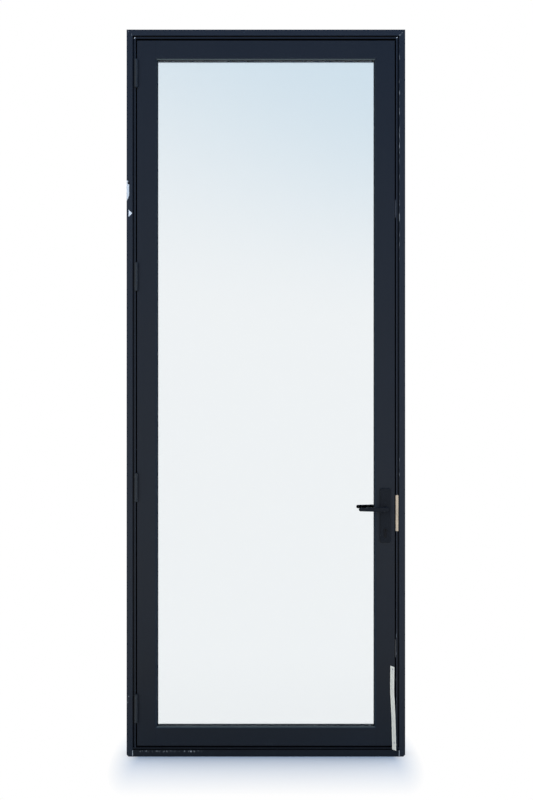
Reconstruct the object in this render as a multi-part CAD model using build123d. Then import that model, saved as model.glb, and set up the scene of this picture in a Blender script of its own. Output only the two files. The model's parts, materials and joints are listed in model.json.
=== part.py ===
from build123d import *
import os

os.makedirs("parts", exist_ok=True)

# An exterior door, closed: one tall glazed leaf on four butt hinges, in a four-sided metal frame.
# All sizes are in millimetres. X runs to the right, the front faces -Y, and Z runs up.
# The origin is on the underside of the sill, in line with the middle of the leaf's thickness.
# Each hollow length has a section drawn as (inward, depth): inward runs from its outer edge
# towards the glass, and depth runs back from the front face.

# Frame
frame_width = 1168.0
frame_height = 3048.0
frame_depth = 114.0
frame_wall = 2.0
frame_front_depth = 50.0  # depth of the front shell, back to the thermal break
frame_break = 20.0
jamb_face = 25.0
jamb_groove = 7.0
jamb_fin = 6.0
sill_face = 28.5
sill_groove = 4.5
sill_fin = 5.0
groove_depth = 18.0
fin_wall = 2.5
stop_height = 20.0  # how far the stop stands in beyond the fin
stop_gap = 4.0  # between the back of the leaf and the stop
corner_clip = 8.0  # the lower outer corners of the jambs are knocked off

# Thermal strips, in slots of both shells
strip_thickness = 2.5
strip_inset = 4.0
strip_bite = 2.0
strip_wall = 4.0

# Weatherstrip on the stop
seal_width = 8.0
seal_wall = 1.1
seal_clearance = 0.3
seal_foot_width = 3.0
seal_foot_depth = 3.0
seal_inset = 7.0

# Leaf
leaf_depth = 57.0
leaf_wall = 2.5
leaf_shell_depth = 20.5
side_gap = 6.0
top_gap = 8.5
bottom_gap = 8.0
stile_face = 77.0
rail_face = 73.0
lip_width = 11.0  # the front face runs on past the tube to cover the glass pocket
lip_thickness = 2.5

# Glazing
pane_thickness = 6.0
pane_gap = 12.0
glass_clearance = 5.0
spacer_width = 7.0
spacer_wall = 1.0
edge_seal_width = 5.0
bead_show = 8.0
bead_bevel = 5.0
bead_wall = 1.6
gasket_thickness = 3.0
gasket_height = 11.0
gasket_show = 1.0
block_length = 100.0
block_spacing = 470.0

# Corner joints
fit_gap = 0.3
joint_block_length = 80.0
joint_screw_radius = 4.0
joint_screw_length = 45.0
joint_head_radius = 6.5
joint_head_height = 5.0
hole_gap = 0.1

# Butt hinges
hinge_bottom_rise = 203.0  # the lowest hinge's centre, above the underside of the sill
hinge_top_drop = 185.0  # the highest hinge's centre, below the top of the frame
hinge_shares = (0.0, 0.348, 0.68, 1.0)  # where each stands between the lowest and the highest
hinge_length = 114.0
hinge_plate_depth = 46.0
hinge_plate_thickness = 2.6
knuckle_radius = 7.5
knuckle_count = 5
knuckle_gap = 0.3
knuckle_stand_off = 8.0  # pin centre in front of the face
pin_radius = 4.0
pin_clearance = 0.05
pin_tip_radius = 6.5
pin_tip_height = 2.5
hinge_screw_radius = 2.8
hinge_screw_head_radius = 5.2
hinge_screw_head_height = 2.4
hinge_screw_length = 14.0
frame_screw_depths = (25.0, 40.0)
leaf_screw_depths = (10.0, 42.0)

# Lock, in the middle of the leaf's thickness
lever_height = 1040.0
lever_backset = 40.0
cylinder_drop = 92.0
bolt_drop = 45.0
latch_rise = 24.0
faceplate_thickness = 3.0
faceplate_width = 20.0
faceplate_overrun = 85.0  # past the middles of the lowest and the highest bolts
faceplate_screw_inset = 5.0
case_thickness = 14.4
case_depth = 53.0
case_below_cylinder = 75.0
case_above_lever = 90.0
bolt_case_height = 130.0
lower_bolt_rise = 450.0  # above the underside of the sill
upper_bolt_drop = 748.0  # below the top of the frame
bolt_height = 30.0
bolt_thickness = 10.0
bolt_length = 34.0
latch_height = 20.0
latch_length = 30.0
latch_bevel = 6.0
bolt_inset = 0.3
rod_inset = 10.0
rod_width = 6.0
rod_thickness = 9.0
rod_overlap = 25.0
rod_travel = 20.0
follower_radius = 9.5
running_gap = 0.05
spindle_size = 8.0

# Cylinder, with a key side in front and a thumbturn behind
cylinder_radius = 8.5
cylinder_tail_width = 10.0
cylinder_tail_drop = 24.5
cylinder_proud = 2.0
cylinder_screw_overrun = 2.0  # past the middle of the cylinder
plug_radius = 6.4
cam_radius = 14.0
cam_width = 10.0
cam_gap = 0.6
key_slot_height = 8.0
key_slot_width = 2.4
key_slot_depth = 8.0
thumbturn_height = 36.0
thumbturn_width = 14.0
thumbturn_depth = 16.0

# Handle plates and levers
plate_width = 43.0
plate_drop = 142.0  # below the lever
plate_rise = 85.0  # above the lever
plate_thickness = 9.0
plate_corner = 7.0
plate_edge = 2.0
plate_screw_inset = 12.0
plate_screw_radius = 2.5
plate_screw_head_radius = 4.6
plate_screw_head_height = 2.2
lever_neck_radius = 10.0
lever_tip_radius = 7.2
lever_reach = 107.0
lever_projection = 65.0
lever_thickness = 11.0
lever_edge = 3.0
lever_neck_gap = 0.3
neck_hole_gap = 1.0
spindle_bite = 18.0

# Strike plate and keeps, on the lock jamb
strike_drop = 94.0  # below the lever
strike_rise = 56.0  # above the lever
strike_thickness = 2.0
strike_bend_radius = 1.8
strike_depth = 44.0
strike_lip = 17.0
keep_height = 74.0
keep_depth = 26.0
keep_gap = 1.5
keep_screw_radius = 2.4
keep_screw_head_radius = 4.4
keep_screw_head_height = 1.8
keep_screw_length = 12.0
keep_screw_inset = 8.0

# Wall fixings through the jambs, behind the stop
fixing_radius = 4.25
fixing_depth = 92.0
fixing_end_inset = 174.0  # the end fixings stand this far from the ends of the jambs

# An old screw hole in the face of the hinge jamb
old_hole_radius = 2.4
old_hole_inset = 8.8
old_hole_drop = 643.0  # below the top of the frame

# Off-white strip screwed to the face of the lock stile; its middle line bows towards the jamb.
# Each point is (distance from the stile's outer edge, height).
edge_strip_line = ((9.0, 377.0), (9.8, 280.0), (7.4, 227.0), (4.2, 152.0), (1.4, 31.0))
edge_strip_width = 20.4
edge_strip_thickness = 3.2
edge_strip_groove = 3.0
edge_strip_groove_depth = 0.6
edge_strip_slant = 6.0
edge_strip_screws = ((9.1, 366.0), (1.8, 58.0))
edge_screw_radius = 1.8
edge_screw_head_radius = 3.2
edge_screw_head_height = 1.5
edge_screw_length = 12.0

# Values that follow
front_y = -leaf_depth / 2
back_y = leaf_depth / 2
jamb_edge = jamb_face + jamb_groove + jamb_fin
sill_edge = sill_face + sill_groove + sill_fin
frame_back_start = frame_front_depth + frame_break
stop_front = leaf_depth + stop_gap
half_width = frame_width / 2
leaf_left = -half_width + jamb_edge + side_gap
leaf_right = -leaf_left
leaf_bottom = sill_edge + bottom_gap
leaf_top = frame_height - jamb_edge - top_gap
frame_box = (-half_width, half_width, 0.0, frame_height)
leaf_box = (leaf_left, leaf_right, leaf_bottom, leaf_top)
stile_tube = stile_face - lip_width
rail_tube = rail_face - lip_width
unit_thickness = 2 * pane_thickness + pane_gap
unit_front = (leaf_depth - unit_thickness) / 2
unit_back = unit_front + unit_thickness
hinge_spread = frame_height - hinge_top_drop - hinge_bottom_rise
hinge_heights = [hinge_bottom_rise + share * hinge_spread for share in hinge_shares]
fixing_spread = frame_height - 2 * fixing_end_inset
fixing_spacings = (fixing_spread, fixing_spread / 3)
old_hole_height = frame_height - old_hole_drop
lever_x = leaf_right - lever_backset
cylinder_z = lever_height - cylinder_drop
bolt_z = lever_height - bolt_drop
latch_z = lever_height + latch_rise
case_bottom = cylinder_z - case_below_cylinder
case_top = lever_height + case_above_lever
bolt_heights = (lower_bolt_rise, frame_height - upper_bolt_drop)
faceplate_bottom = bolt_heights[0] - faceplate_overrun
faceplate_top = bolt_heights[1] + faceplate_overrun
plate_bottom = lever_height - plate_drop
plate_top = lever_height + plate_rise
strike_bottom = lever_height - strike_drop
strike_top = lever_height + strike_rise
pin_x = leaf_left - side_gap / 2
pin_y = front_y - knuckle_stand_off
plate_face = leaf_depth / 2 + plate_thickness


def rect(inward_0, depth_0, inward_1, depth_1):
    """A rectangle of a section, between two corners."""
    centre = Pos((inward_0 + inward_1) / 2, (depth_0 + depth_1) / 2)
    return centre * Rectangle(inward_1 - inward_0, depth_1 - depth_0)


def block(x_0, x_1, y_0, y_1, z_0, z_1):
    """A box between two corners."""
    centre = Pos((x_0 + x_1) / 2, (y_0 + y_1) / 2, (z_0 + z_1) / 2)
    return centre * Box(x_1 - x_0, y_1 - y_0, z_1 - z_0)


def run(section, outline, side, start, stop):
    """Extrude a section along one side of an outline, from start to stop on X or Z."""
    left, right, bottom, top = outline
    length = stop - start
    if side == "left":
        plane = Plane((left, front_y, start), x_dir=(1, 0, 0), z_dir=(0, 0, 1))
    elif side == "right":
        plane = Plane((right, front_y, stop), x_dir=(-1, 0, 0), z_dir=(0, 0, -1))
    elif side == "top":
        plane = Plane((start, front_y, top), x_dir=(0, 0, -1), z_dir=(1, 0, 0))
    else:
        plane = Plane((stop, front_y, bottom), x_dir=(0, 0, 1), z_dir=(-1, 0, 0))
    return extrude(plane * section, length)


def mirrored_x(shape):
    """The same shape on the other side of the door's middle."""
    return mirror(shape, Plane.YZ)


def mirrored_y(shape):
    """The same shape on the back of the leaf."""
    return mirror(shape, Plane.XZ)


def hole_along_y(x, z, radius, y_0, y_1):
    """A cylinder along Y."""
    along = Plane((x, y_0, z), x_dir=(1, 0, 0), z_dir=(0, 1, 0))
    return along * Cylinder(radius, y_1 - y_0, align=(Align.CENTER, Align.CENTER, Align.MIN))


def hole_along_x(y, z, radius, x_0, x_1):
    """A cylinder along X."""
    along = Plane((x_0, y, z), x_dir=(0, 1, 0), z_dir=(1, 0, 0))
    return along * Cylinder(radius, x_1 - x_0, align=(Align.CENTER, Align.CENTER, Align.MIN))


def countersunk(radius, head_radius, head_height, length, grow=0.0):
    """A countersunk screw along -Z, its head flush with the origin; grow gives its hole."""
    sunk = (Align.CENTER, Align.CENTER, Align.MAX)
    head = Cone(radius + grow, head_radius + grow, head_height, align=sunk)
    shank = Cylinder(radius + grow, length + grow, align=sunk)
    return head + shank


def cap_screw(grow=0.0):
    """A corner screw along -Z, its head standing on the origin; grow gives its hole."""
    head = Cylinder(joint_head_radius, joint_head_height, align=(Align.CENTER, Align.CENTER, Align.MIN))
    shank = Cylinder(
        joint_screw_radius + grow,
        joint_screw_length + grow,
        align=(Align.CENTER, Align.CENTER, Align.MAX),
    )
    return head + shank


def facing(x, y, z, direction):
    """A plane at a point, whose normal runs along a direction."""
    return Plane((x, y, z), z_dir=direction)


def hinge_screw(grow=0.0):
    return countersunk(
        hinge_screw_radius,
        hinge_screw_head_radius,
        hinge_screw_head_height,
        hinge_screw_length,
        grow,
    )


def keep_screw(grow=0.0):
    return countersunk(
        keep_screw_radius,
        keep_screw_head_radius,
        keep_screw_head_height,
        keep_screw_length,
        grow,
    )


# Sections


def strip_pair(edge, depth_0, depth_1):
    """Two thermal strips, one near each side of a hollow length."""
    outer = rect(strip_inset, depth_0, strip_inset + strip_thickness, depth_1)
    inner = rect(edge - strip_inset - strip_thickness, depth_0, edge - strip_inset, depth_1)
    return outer + inner


def frame_strips_section(edge):
    return strip_pair(edge, frame_front_depth - strip_bite, frame_back_start + strip_bite)


def frame_front_section(face, groove, fin):
    """The front shell: a flat face, an open groove, and a fin with a hooked front edge."""
    edge = face + groove + fin
    back = frame_front_depth - strip_wall
    mouth = rect(face, 0, face + groove, groove_depth)
    undercut = rect(face, fin_wall, edge - fin_wall, groove_depth)
    solid = rect(0, 0, edge, frame_front_depth) - mouth - undercut
    face_hollow = rect(frame_wall, frame_wall, face - frame_wall, back)
    deep_hollow = rect(frame_wall, groove_depth + frame_wall, edge - frame_wall, back)
    return solid - (face_hollow + deep_hollow) - frame_strips_section(edge)


def seal_position(edge):
    return edge + stop_height - seal_inset


def frame_back_section(edge):
    """The back shell, with the stop that the leaf closes against and a slot for its seal."""
    inner = edge + stop_height
    solid = rect(0, frame_back_start, inner, frame_depth)
    solid += rect(edge, stop_front, inner, frame_back_start)
    back = frame_depth - frame_wall
    hollow = rect(frame_wall, frame_back_start + strip_wall, inner - frame_wall, back)
    nose = stop_front + seal_foot_depth + frame_wall
    hollow += rect(edge + frame_wall, nose, inner - frame_wall, back)
    middle = seal_position(edge)
    half = seal_foot_width / 2
    slot = rect(middle - half, stop_front, middle + half, stop_front + seal_foot_depth)
    return solid - hollow - slot - frame_strips_section(edge)


def seal_section(edge):
    """A hollow bulb on a foot."""
    middle = seal_position(edge)
    front = leaf_depth + seal_clearance
    bulb = rect(middle - seal_width / 2, front, middle + seal_width / 2, stop_front)
    corners = bulb.vertices().group_by(Axis.Y)[0]
    bulb = fillet(corners, (stop_front - front) / 2)
    inside = seal_width / 2 - seal_wall
    room = rect(middle - inside, front + seal_wall, middle + inside, stop_front - seal_wall)
    half = seal_foot_width / 2
    foot = rect(middle - half, stop_front, middle + half, stop_front + seal_foot_depth)
    return bulb - room + foot


def leaf_strips_section(tube):
    front = leaf_shell_depth - strip_bite
    return strip_pair(tube, front, leaf_depth - front)


def leaf_front_section(tube):
    """The front tube, whose face runs on as a lip over the glass pocket."""
    solid = rect(0, 0, tube, leaf_shell_depth)
    solid += rect(tube, 0, tube + lip_width, lip_thickness)
    hollow = rect(leaf_wall, leaf_wall, tube - leaf_wall, leaf_shell_depth - strip_wall)
    return solid - hollow - leaf_strips_section(tube)


def leaf_back_section(tube):
    front = leaf_depth - leaf_shell_depth
    solid = rect(0, front, tube, leaf_depth)
    hollow = rect(leaf_wall, front + strip_wall, tube - leaf_wall, leaf_depth - leaf_wall)
    return solid - hollow - leaf_strips_section(tube)


def sight(tube):
    """Where the bead ends and the glass shows."""
    return tube + lip_width + bead_show


def front_bead_section(tube):
    """The front bead: a bevelled nose beside the lip, and a hollow foot behind it."""
    face = tube + lip_width
    back = unit_front - gasket_thickness
    outline = Polygon(
        (tube, lip_thickness),
        (face, lip_thickness),
        (face, 0),
        (sight(tube), bead_bevel),
        (sight(tube), back),
        (tube, back),
        align=None,
    )
    front = bead_bevel + bead_wall
    return outline - rect(tube + bead_wall, front, sight(tube) - bead_wall, back - bead_wall)


def back_bead_section(tube):
    """The back bead, which also fills the place of the lip."""
    face = tube + lip_width
    front = unit_back + gasket_thickness
    outline = Polygon(
        (tube, front),
        (sight(tube), front),
        (sight(tube), leaf_depth - bead_bevel),
        (face, leaf_depth),
        (tube, leaf_depth),
        align=None,
    )
    back = leaf_depth - bead_bevel - bead_wall
    return outline - rect(tube + bead_wall, front + bead_wall, sight(tube) - bead_wall, back)


def gasket_section(tube, depth_0):
    inner = sight(tube) + gasket_show
    return rect(inner - gasket_height, depth_0, inner, depth_0 + gasket_thickness)


def spacer_section(tube):
    outer = tube + glass_clearance + edge_seal_width
    front = unit_front + pane_thickness
    solid = rect(outer, front, outer + spacer_width, front + pane_gap)
    hollow = rect(
        outer + spacer_wall,
        front + spacer_wall,
        outer + spacer_width - spacer_wall,
        front + pane_gap - spacer_wall,
    )
    return solid - hollow


def edge_seal_section(tube):
    outer = tube + glass_clearance
    front = unit_front + pane_thickness
    return rect(outer, front, outer + edge_seal_width, front + pane_gap)


def around_glass(make, outer, inner):
    """Four straight lengths round the glass; those up the sides stand between the other two.

    make gives the section from a tube's width, and outer and inner are how far the section's
    own outer and inner edges lie from the face of the tube.
    """
    x_end = leaf_right - stile_tube - outer
    z_low = leaf_bottom + rail_tube + inner
    z_high = leaf_top - rail_tube - inner
    level = make(rail_tube)
    upright = make(stile_tube)
    return [
        run(level, leaf_box, "bottom", -x_end, x_end),
        run(level, leaf_box, "top", -x_end, x_end),
        run(upright, leaf_box, "left", z_low, z_high),
        run(upright, leaf_box, "right", z_low, z_high),
    ]


# Frame


def mitre_prism():
    """The room of the head, whose slanted ends are the mitres."""
    reach = jamb_edge + 2 * stop_height
    outline = Polygon(
        (-half_width, frame_height),
        (half_width, frame_height),
        (half_width - reach, frame_height - reach),
        (-half_width + reach, frame_height - reach),
        align=None,
    )
    return extrude(Plane.XZ * outline, 2 * frame_depth, both=True)


def lock_jamb_holes():
    """Holes in the jamb's inner face for the latch and the bolts."""
    x_0 = leaf_right + side_gap - frame_wall - jamb_fin
    x_1 = leaf_right + side_gap + frame_wall + fit_gap
    half = bolt_thickness / 2 + keep_gap
    holes = []
    for z, height in ((latch_z, latch_height), (bolt_z, bolt_height)):
        holes.append(block(x_0, x_1, -half, half, z - height / 2 - keep_gap, z + height / 2 + keep_gap))
    for z in bolt_heights:
        tall = bolt_height / 2 + keep_gap
        holes.append(block(x_0, x_1, -half, half, z - tall, z + tall))
    return holes


def fixing_holes(x_outer, x_inner):
    """Wall fixing holes through both walls of a jamb's back shell."""
    holes = []
    for spacing in fixing_spacings:
        for sign in (-1, 1):
            z = (frame_height + sign * spacing) / 2
            holes.append(hole_along_x(front_y + fixing_depth, z, fixing_radius, x_outer, x_inner))
    return holes


def sill_screw_places():
    """Where each screw's head stands inside a jamb, on the side of +X: (x, y, z)."""
    front_depth = (groove_depth + frame_front_depth) / 2 - frame_wall / 2
    back_depth = (frame_back_start + strip_wall + frame_depth) / 2
    inner = half_width - jamb_edge
    return [
        (inner + frame_wall, front_y + front_depth, sill_edge / 2),
        (inner - stop_height + frame_wall, front_y + back_depth, sill_edge / 2),
    ]


def sill_screws(grow=0.0):
    screws = [facing(x, y, z, (1, 0, 0)) * cap_screw(grow) for x, y, z in sill_screw_places()]
    return screws + [mirrored_x(screw) for screw in screws]


def clipped_corner():
    """The wedge that is missing from the lower outer corner of the jamb at -X."""
    outline = Polygon(
        (-half_width, 0),
        (-half_width + corner_clip, 0),
        (-half_width, corner_clip),
        align=None,
    )
    return extrude(Plane.XZ * outline, 2 * frame_depth, both=True)


def hinge_screw_places(depths):
    """Heights and depths of one hinge plate's screws, from the hinge's lower end."""
    step = hinge_length / 4
    return [(step * (row + 0.5), depths[row % 2]) for row in range(4)]


def hinge_frame_screws(grow=0.0):
    screws = []
    x = pin_x - side_gap / 2 + hinge_plate_thickness
    for centre in hinge_heights:
        low = centre - hinge_length / 2
        for up, depth in hinge_screw_places(frame_screw_depths):
            screws.append(facing(x, front_y + depth, low + up, (1, 0, 0)) * hinge_screw(grow))
    return screws


def hinge_leaf_screws(grow=0.0):
    screws = []
    x = leaf_left - hinge_plate_thickness
    for centre in hinge_heights:
        low = centre - hinge_length / 2
        for up, depth in hinge_screw_places(leaf_screw_depths):
            screws.append(facing(x, front_y + depth, low + up, (-1, 0, 0)) * hinge_screw(grow))
    return screws


def hinge_half(side, first):
    """One half of a hinge, from its lower end: side is -1 on the frame and 1 on the leaf.

    The half has every second knuckle, counted from first.
    """
    pitch = hinge_length / knuckle_count
    reach = side_gap / 2
    face = side * reach
    near = side * (reach - hinge_plate_thickness)
    low_x, high_x = min(face, near), max(face, near)
    half = block(low_x, high_x, knuckle_stand_off, knuckle_stand_off + hinge_plate_depth, 0, hinge_length)
    for row in range(first, knuckle_count, 2):
        z_0 = row * pitch + knuckle_gap / 2
        z_1 = (row + 1) * pitch - knuckle_gap / 2
        barrel = Pos(0, 0, (z_0 + z_1) / 2) * Cylinder(knuckle_radius, z_1 - z_0)
        half += barrel + block(low_x, high_x, 0, knuckle_stand_off, z_0, z_1)
    bore = Pos(0, 0, hinge_length / 2) * Cylinder(pin_radius + pin_clearance, 2 * hinge_length)
    return half - bore


def hinge_halves(side, first, screws):
    halves = []
    for centre in hinge_heights:
        half = Pos(pin_x, pin_y, centre - hinge_length / 2) * hinge_half(side, first)
        halves.append(half - screws)
    return halves


def hinge_pins():
    pins = []
    total = hinge_length + knuckle_gap
    for centre in hinge_heights:
        pin = Cylinder(pin_radius, total)
        for side in (-1, 1):
            offset = side * (total + pin_tip_height) / 2
            pin += Pos(0, 0, offset) * Cylinder(pin_tip_radius, pin_tip_height)
        pins.append(Pos(pin_x, pin_y, centre) * pin)
    return pins


def keep_screw_points():
    """Where the screws of the strike plate and the keeps stand: (depth behind the face, height)."""
    middle = leaf_depth / 2
    points = [(middle, strike_bottom + keep_screw_inset), (middle, strike_top - keep_screw_inset)]
    for z in bolt_heights:
        for sign in (-1, 1):
            points.append((middle, z + sign * (keep_height / 2 - keep_screw_inset)))
    return points


def keep_screws(grow=0.0):
    x = leaf_right + side_gap - strike_thickness
    points = keep_screw_points()
    return [facing(x, front_y + depth, z, (-1, 0, 0)) * keep_screw(grow) for depth, z in points]


def strike():
    """An angle: one leg on the jamb beside the leaf, and a lip over the fin and the groove."""
    x_1 = leaf_right + side_gap
    x_0 = x_1 - strike_thickness
    leg = block(x_0, x_1, front_y, front_y + strike_depth, strike_bottom, strike_top)
    lip = block(x_0, x_0 + strike_lip, front_y - strike_thickness, front_y, strike_bottom, strike_top)
    plate = leg + lip
    bend = plate.edges().filter_by(Axis.Z).sort_by(Axis.Y)[:2].sort_by(Axis.X)[0]
    return fillet(bend, strike_bend_radius) - lock_jamb_holes() - keep_screws(hole_gap)


def keeps():
    x_1 = leaf_right + side_gap
    half = keep_depth / 2
    plates = []
    for z in bolt_heights:
        z_0, z_1 = z - keep_height / 2, z + keep_height / 2
        plate = block(x_1 - strike_thickness, x_1, -half, half, z_0, z_1)
        plates.append(plate - lock_jamb_holes() - keep_screws(hole_gap))
    return plates


def frame_cleats():
    """L-shaped cleats inside the two mitred corners, in the front and the back shells."""
    front = (groove_depth + frame_wall, frame_front_depth - strip_wall)
    back = (frame_back_start + strip_wall, frame_depth - frame_wall)
    outer = frame_wall + fit_gap
    inner = jamb_edge - frame_wall - fit_gap
    reach = outer + joint_block_length
    cleats = []
    for depth_0, depth_1 in (front, back):
        corner = (half_width - outer, frame_height - outer)
        outline = Polygon(
            corner,
            (half_width - reach, corner[1]),
            (half_width - reach, frame_height - inner),
            (half_width - inner, frame_height - inner),
            (half_width - inner, frame_height - reach),
            (corner[0], frame_height - reach),
            align=None,
        )
        depth = depth_1 - depth_0 - 2 * fit_gap
        plane = Plane((0, front_y + depth_1 - fit_gap, 0), x_dir=(1, 0, 0), z_dir=(0, -1, 0))
        cleat = extrude(plane * outline, depth)
        cleats += [cleat, mirrored_x(cleat)]
    return cleats


def sill_blocks():
    """Blocks in the ends of the sill, which the screws through the jambs hold."""
    low, high = frame_wall + fit_gap, sill_edge - frame_wall - fit_gap
    front = (groove_depth + frame_wall, frame_front_depth - strip_wall)
    back = (frame_back_start + strip_wall, frame_depth - frame_wall)
    x_front = half_width - jamb_edge
    blocks = []
    for (depth_0, depth_1), x in ((front, x_front), (back, x_front - stop_height)):
        y_0, y_1 = front_y + depth_0 + fit_gap, front_y + depth_1 - fit_gap
        piece = block(x - joint_block_length, x, y_0, y_1, low, high) - sill_screws(hole_gap)
        blocks += [piece, mirrored_x(piece)]
    return blocks


def frame_lengths():
    """The eight shells of the frame, by name."""
    mitre = mitre_prism()
    front = frame_front_section(jamb_face, jamb_groove, jamb_fin)
    back = frame_back_section(jamb_edge)
    head_front = run(front, frame_box, "top", -half_width, half_width) & mitre
    head_back = run(back, frame_box, "top", -half_width, half_width) & mitre

    groove_end = -half_width + jamb_face
    inner = -half_width + jamb_edge
    notch = block(groove_end, inner, front_y, front_y + groove_depth, 0, sill_edge)
    jamb_front = run(front, frame_box, "left", 0, frame_height) - mitre - notch - clipped_corner()
    jamb_front -= sill_screws(hole_gap)
    jamb_back = run(back, frame_box, "left", 0, frame_height) - mitre - clipped_corner()
    jamb_back -= sill_screws(hole_gap)
    jamb_back -= fixing_holes(-half_width, inner + stop_height)
    old_hole = hole_along_y(
        -half_width + old_hole_inset, old_hole_height, old_hole_radius, front_y, front_y + frame_wall
    )

    sill = frame_front_section(sill_face, sill_groove, sill_fin)
    nose = sill & rect(0, 0, sill_edge, groove_depth)
    sill_front = run(sill, frame_box, "bottom", inner, -inner)
    sill_front += run(nose, frame_box, "bottom", groove_end, inner)
    sill_front += run(nose, frame_box, "bottom", -inner, -groove_end)
    stop_end = inner + stop_height
    sill_back = run(frame_back_section(sill_edge), frame_box, "bottom", stop_end, -stop_end)
    return {
        "frame_head_front": head_front,
        "frame_head_back": head_back,
        "frame_hinge_jamb_front": jamb_front - old_hole - hinge_frame_screws(hole_gap),
        "frame_hinge_jamb_back": jamb_back,
        "frame_lock_jamb_front": mirrored_x(jamb_front) - lock_jamb_holes() - keep_screws(hole_gap),
        "frame_lock_jamb_back": mirrored_x(jamb_back),
        "frame_sill_front": sill_front,
        "frame_sill_back": sill_back,
    }


def frame_strips():
    """Thermal strips, two in each side of the frame, cut as the shells that they join are."""
    mitre = mitre_prism()
    section = frame_strips_section(jamb_edge)
    sill_end = half_width - jamb_edge - stop_height
    head = run(section, frame_box, "top", -half_width, half_width) & mitre
    left = run(section, frame_box, "left", 0, frame_height) - mitre - clipped_corner()
    sill = run(frame_strips_section(sill_edge), frame_box, "bottom", -sill_end, sill_end)
    return head.solids() + left.solids() + mirrored_x(left).solids() + sill.solids()


def weatherstrip():
    """Four lengths of seal, mitred at the head; the one on the sill ends at the jambs' stops."""
    mitre = mitre_prism()
    section = seal_section(jamb_edge)
    z_low = seal_position(sill_edge) - seal_width / 2
    sill_end = half_width - jamb_edge - stop_height
    head = run(section, frame_box, "top", -half_width, half_width) & mitre
    left = run(section, frame_box, "left", z_low, frame_height) - mitre
    sill = run(seal_section(sill_edge), frame_box, "bottom", -sill_end, sill_end)
    return head.solids() + left.solids() + mirrored_x(left).solids() + sill.solids()


# Leaf


def cylinder_outline(grow=0.0):
    """The profile cylinder seen from the front: a round body over a narrow tail."""
    tail_width = cylinder_tail_width + 2 * grow
    tail = Pos(0, -cylinder_tail_drop / 2) * Rectangle(tail_width, cylinder_tail_drop)
    end = Pos(0, -cylinder_tail_drop) * Circle(tail_width / 2)
    return Circle(cylinder_radius + grow) + tail + end


def cylinder_prism(half_length, grow=0.0):
    plane = Plane((lever_x, 0, cylinder_z), x_dir=(1, 0, 0), z_dir=(0, -1, 0))
    return extrude(plane * cylinder_outline(grow), half_length, both=True)


def plate_screw_heights():
    return (plate_bottom + plate_screw_inset, plate_top - plate_screw_inset)


def plate_screws(grow=0.0):
    """Long screws from the back plate into the front plate."""
    length = plate_face + leaf_depth / 2 + plate_thickness / 2
    screws = []
    for z in plate_screw_heights():
        screw = countersunk(
            plate_screw_radius, plate_screw_head_radius, plate_screw_head_height, length, grow
        )
        screws.append(facing(lever_x, plate_face, z, (0, 1, 0)) * screw)
    return screws


def cylinder_screw(grow=0.0):
    """The screw from the faceplate that holds the cylinder."""
    length = lever_backset + cylinder_screw_overrun
    screw = countersunk(
        keep_screw_radius, keep_screw_head_radius, keep_screw_head_height, length, grow
    )
    z = cylinder_z - cylinder_tail_drop / 2 - keep_screw_radius
    return facing(leaf_right, 0, z, (1, 0, 0)) * screw


def faceplate_screws(grow=0.0):
    """Screws that hold the faceplate to the stile, one near each end, and the cylinder's own."""
    screws = [cylinder_screw(grow)]
    for z in (faceplate_bottom + faceplate_screw_inset, faceplate_top - faceplate_screw_inset):
        screws.append(facing(leaf_right, 0, z, (1, 0, 0)) * keep_screw(grow))
    return screws


def lock_case_boxes(grow=0.0):
    """The main case and the two bolt cases, as (low z, high z) blocks behind the faceplate."""
    x_1 = leaf_right - faceplate_thickness
    x_0 = x_1 - case_depth - grow
    half = case_thickness / 2 + grow
    spans = [(case_bottom, case_top)]
    spans += [(z - bolt_case_height / 2, z + bolt_case_height / 2) for z in bolt_heights]
    return [block(x_0, x_1, -half, half, low - grow, high + grow) for low, high in spans]


def bolt_solid(z, height, length, grow=0.0):
    """A bolt drawn back in its case, its nose just below the leaf's edge."""
    half = bolt_thickness / 2 + grow
    tall = height / 2 + grow
    x_1 = leaf_right - bolt_inset
    return block(x_1 - length - grow, x_1 + 2 * grow, -half, half, z - tall, z + tall)


def latch():
    """The latch, drawn back; the back of its nose is bevelled to ride over the strike."""
    body = bolt_solid(latch_z, latch_height, latch_length)
    nose = body.edges().filter_by(Axis.Z).sort_by(Axis.X)[-2:].sort_by(Axis.Y)[-1]
    return chamfer(nose, latch_bevel)


def bolts():
    return [bolt_solid(z, bolt_height, bolt_length) for z in (bolt_z, *bolt_heights)]


def bolt_channels():
    """The room in which the latch and the bolts slide, through the cases and the faceplate."""
    channels = [bolt_solid(latch_z, latch_height, latch_length, fit_gap)]
    channels += [bolt_solid(z, bolt_height, bolt_length, fit_gap) for z in (bolt_z, *bolt_heights)]
    return channels


def rod_spans():
    """Each rod reaches into the case below and the case above it: (low z, high z)."""
    half = bolt_case_height / 2
    low_z, high_z = bolt_heights
    lower = (low_z + half - rod_overlap, case_bottom + rod_overlap)
    upper = (case_top - rod_overlap, high_z - half + rod_overlap)
    return (lower, upper)


def rods(grow=0.0, travel=0.0):
    """Drive rods behind the faceplate, or with grow and travel the room that they slide in."""
    x_1 = leaf_right - rod_inset + grow
    x_0 = leaf_right - rod_inset - rod_width - grow
    half = rod_thickness / 2 + grow
    return [block(x_0, x_1, -half, half, low - grow, high + travel + grow) for low, high in rod_spans()]


def cam_room():
    """The room of the cylinder's cam, in the case and in the cylinder."""
    half = cam_width / 2 + cam_gap
    return hole_along_y(lever_x, cylinder_z, cam_radius + cam_gap, -half, half)


def lock_cases():
    """The main case and the bolt cases, solid but for the room of what moves in them."""
    follower = hole_along_y(
        lever_x, lever_height, follower_radius + running_gap, -case_thickness, case_thickness
    )
    rooms = bolt_channels() + rods(fit_gap, rod_travel)
    rooms += [follower, cylinder_prism(leaf_depth, fit_gap), cam_room()]
    rooms += plate_screws(hole_gap) + [cylinder_screw(hole_gap)]
    return [case - rooms for case in lock_case_boxes()]


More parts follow.
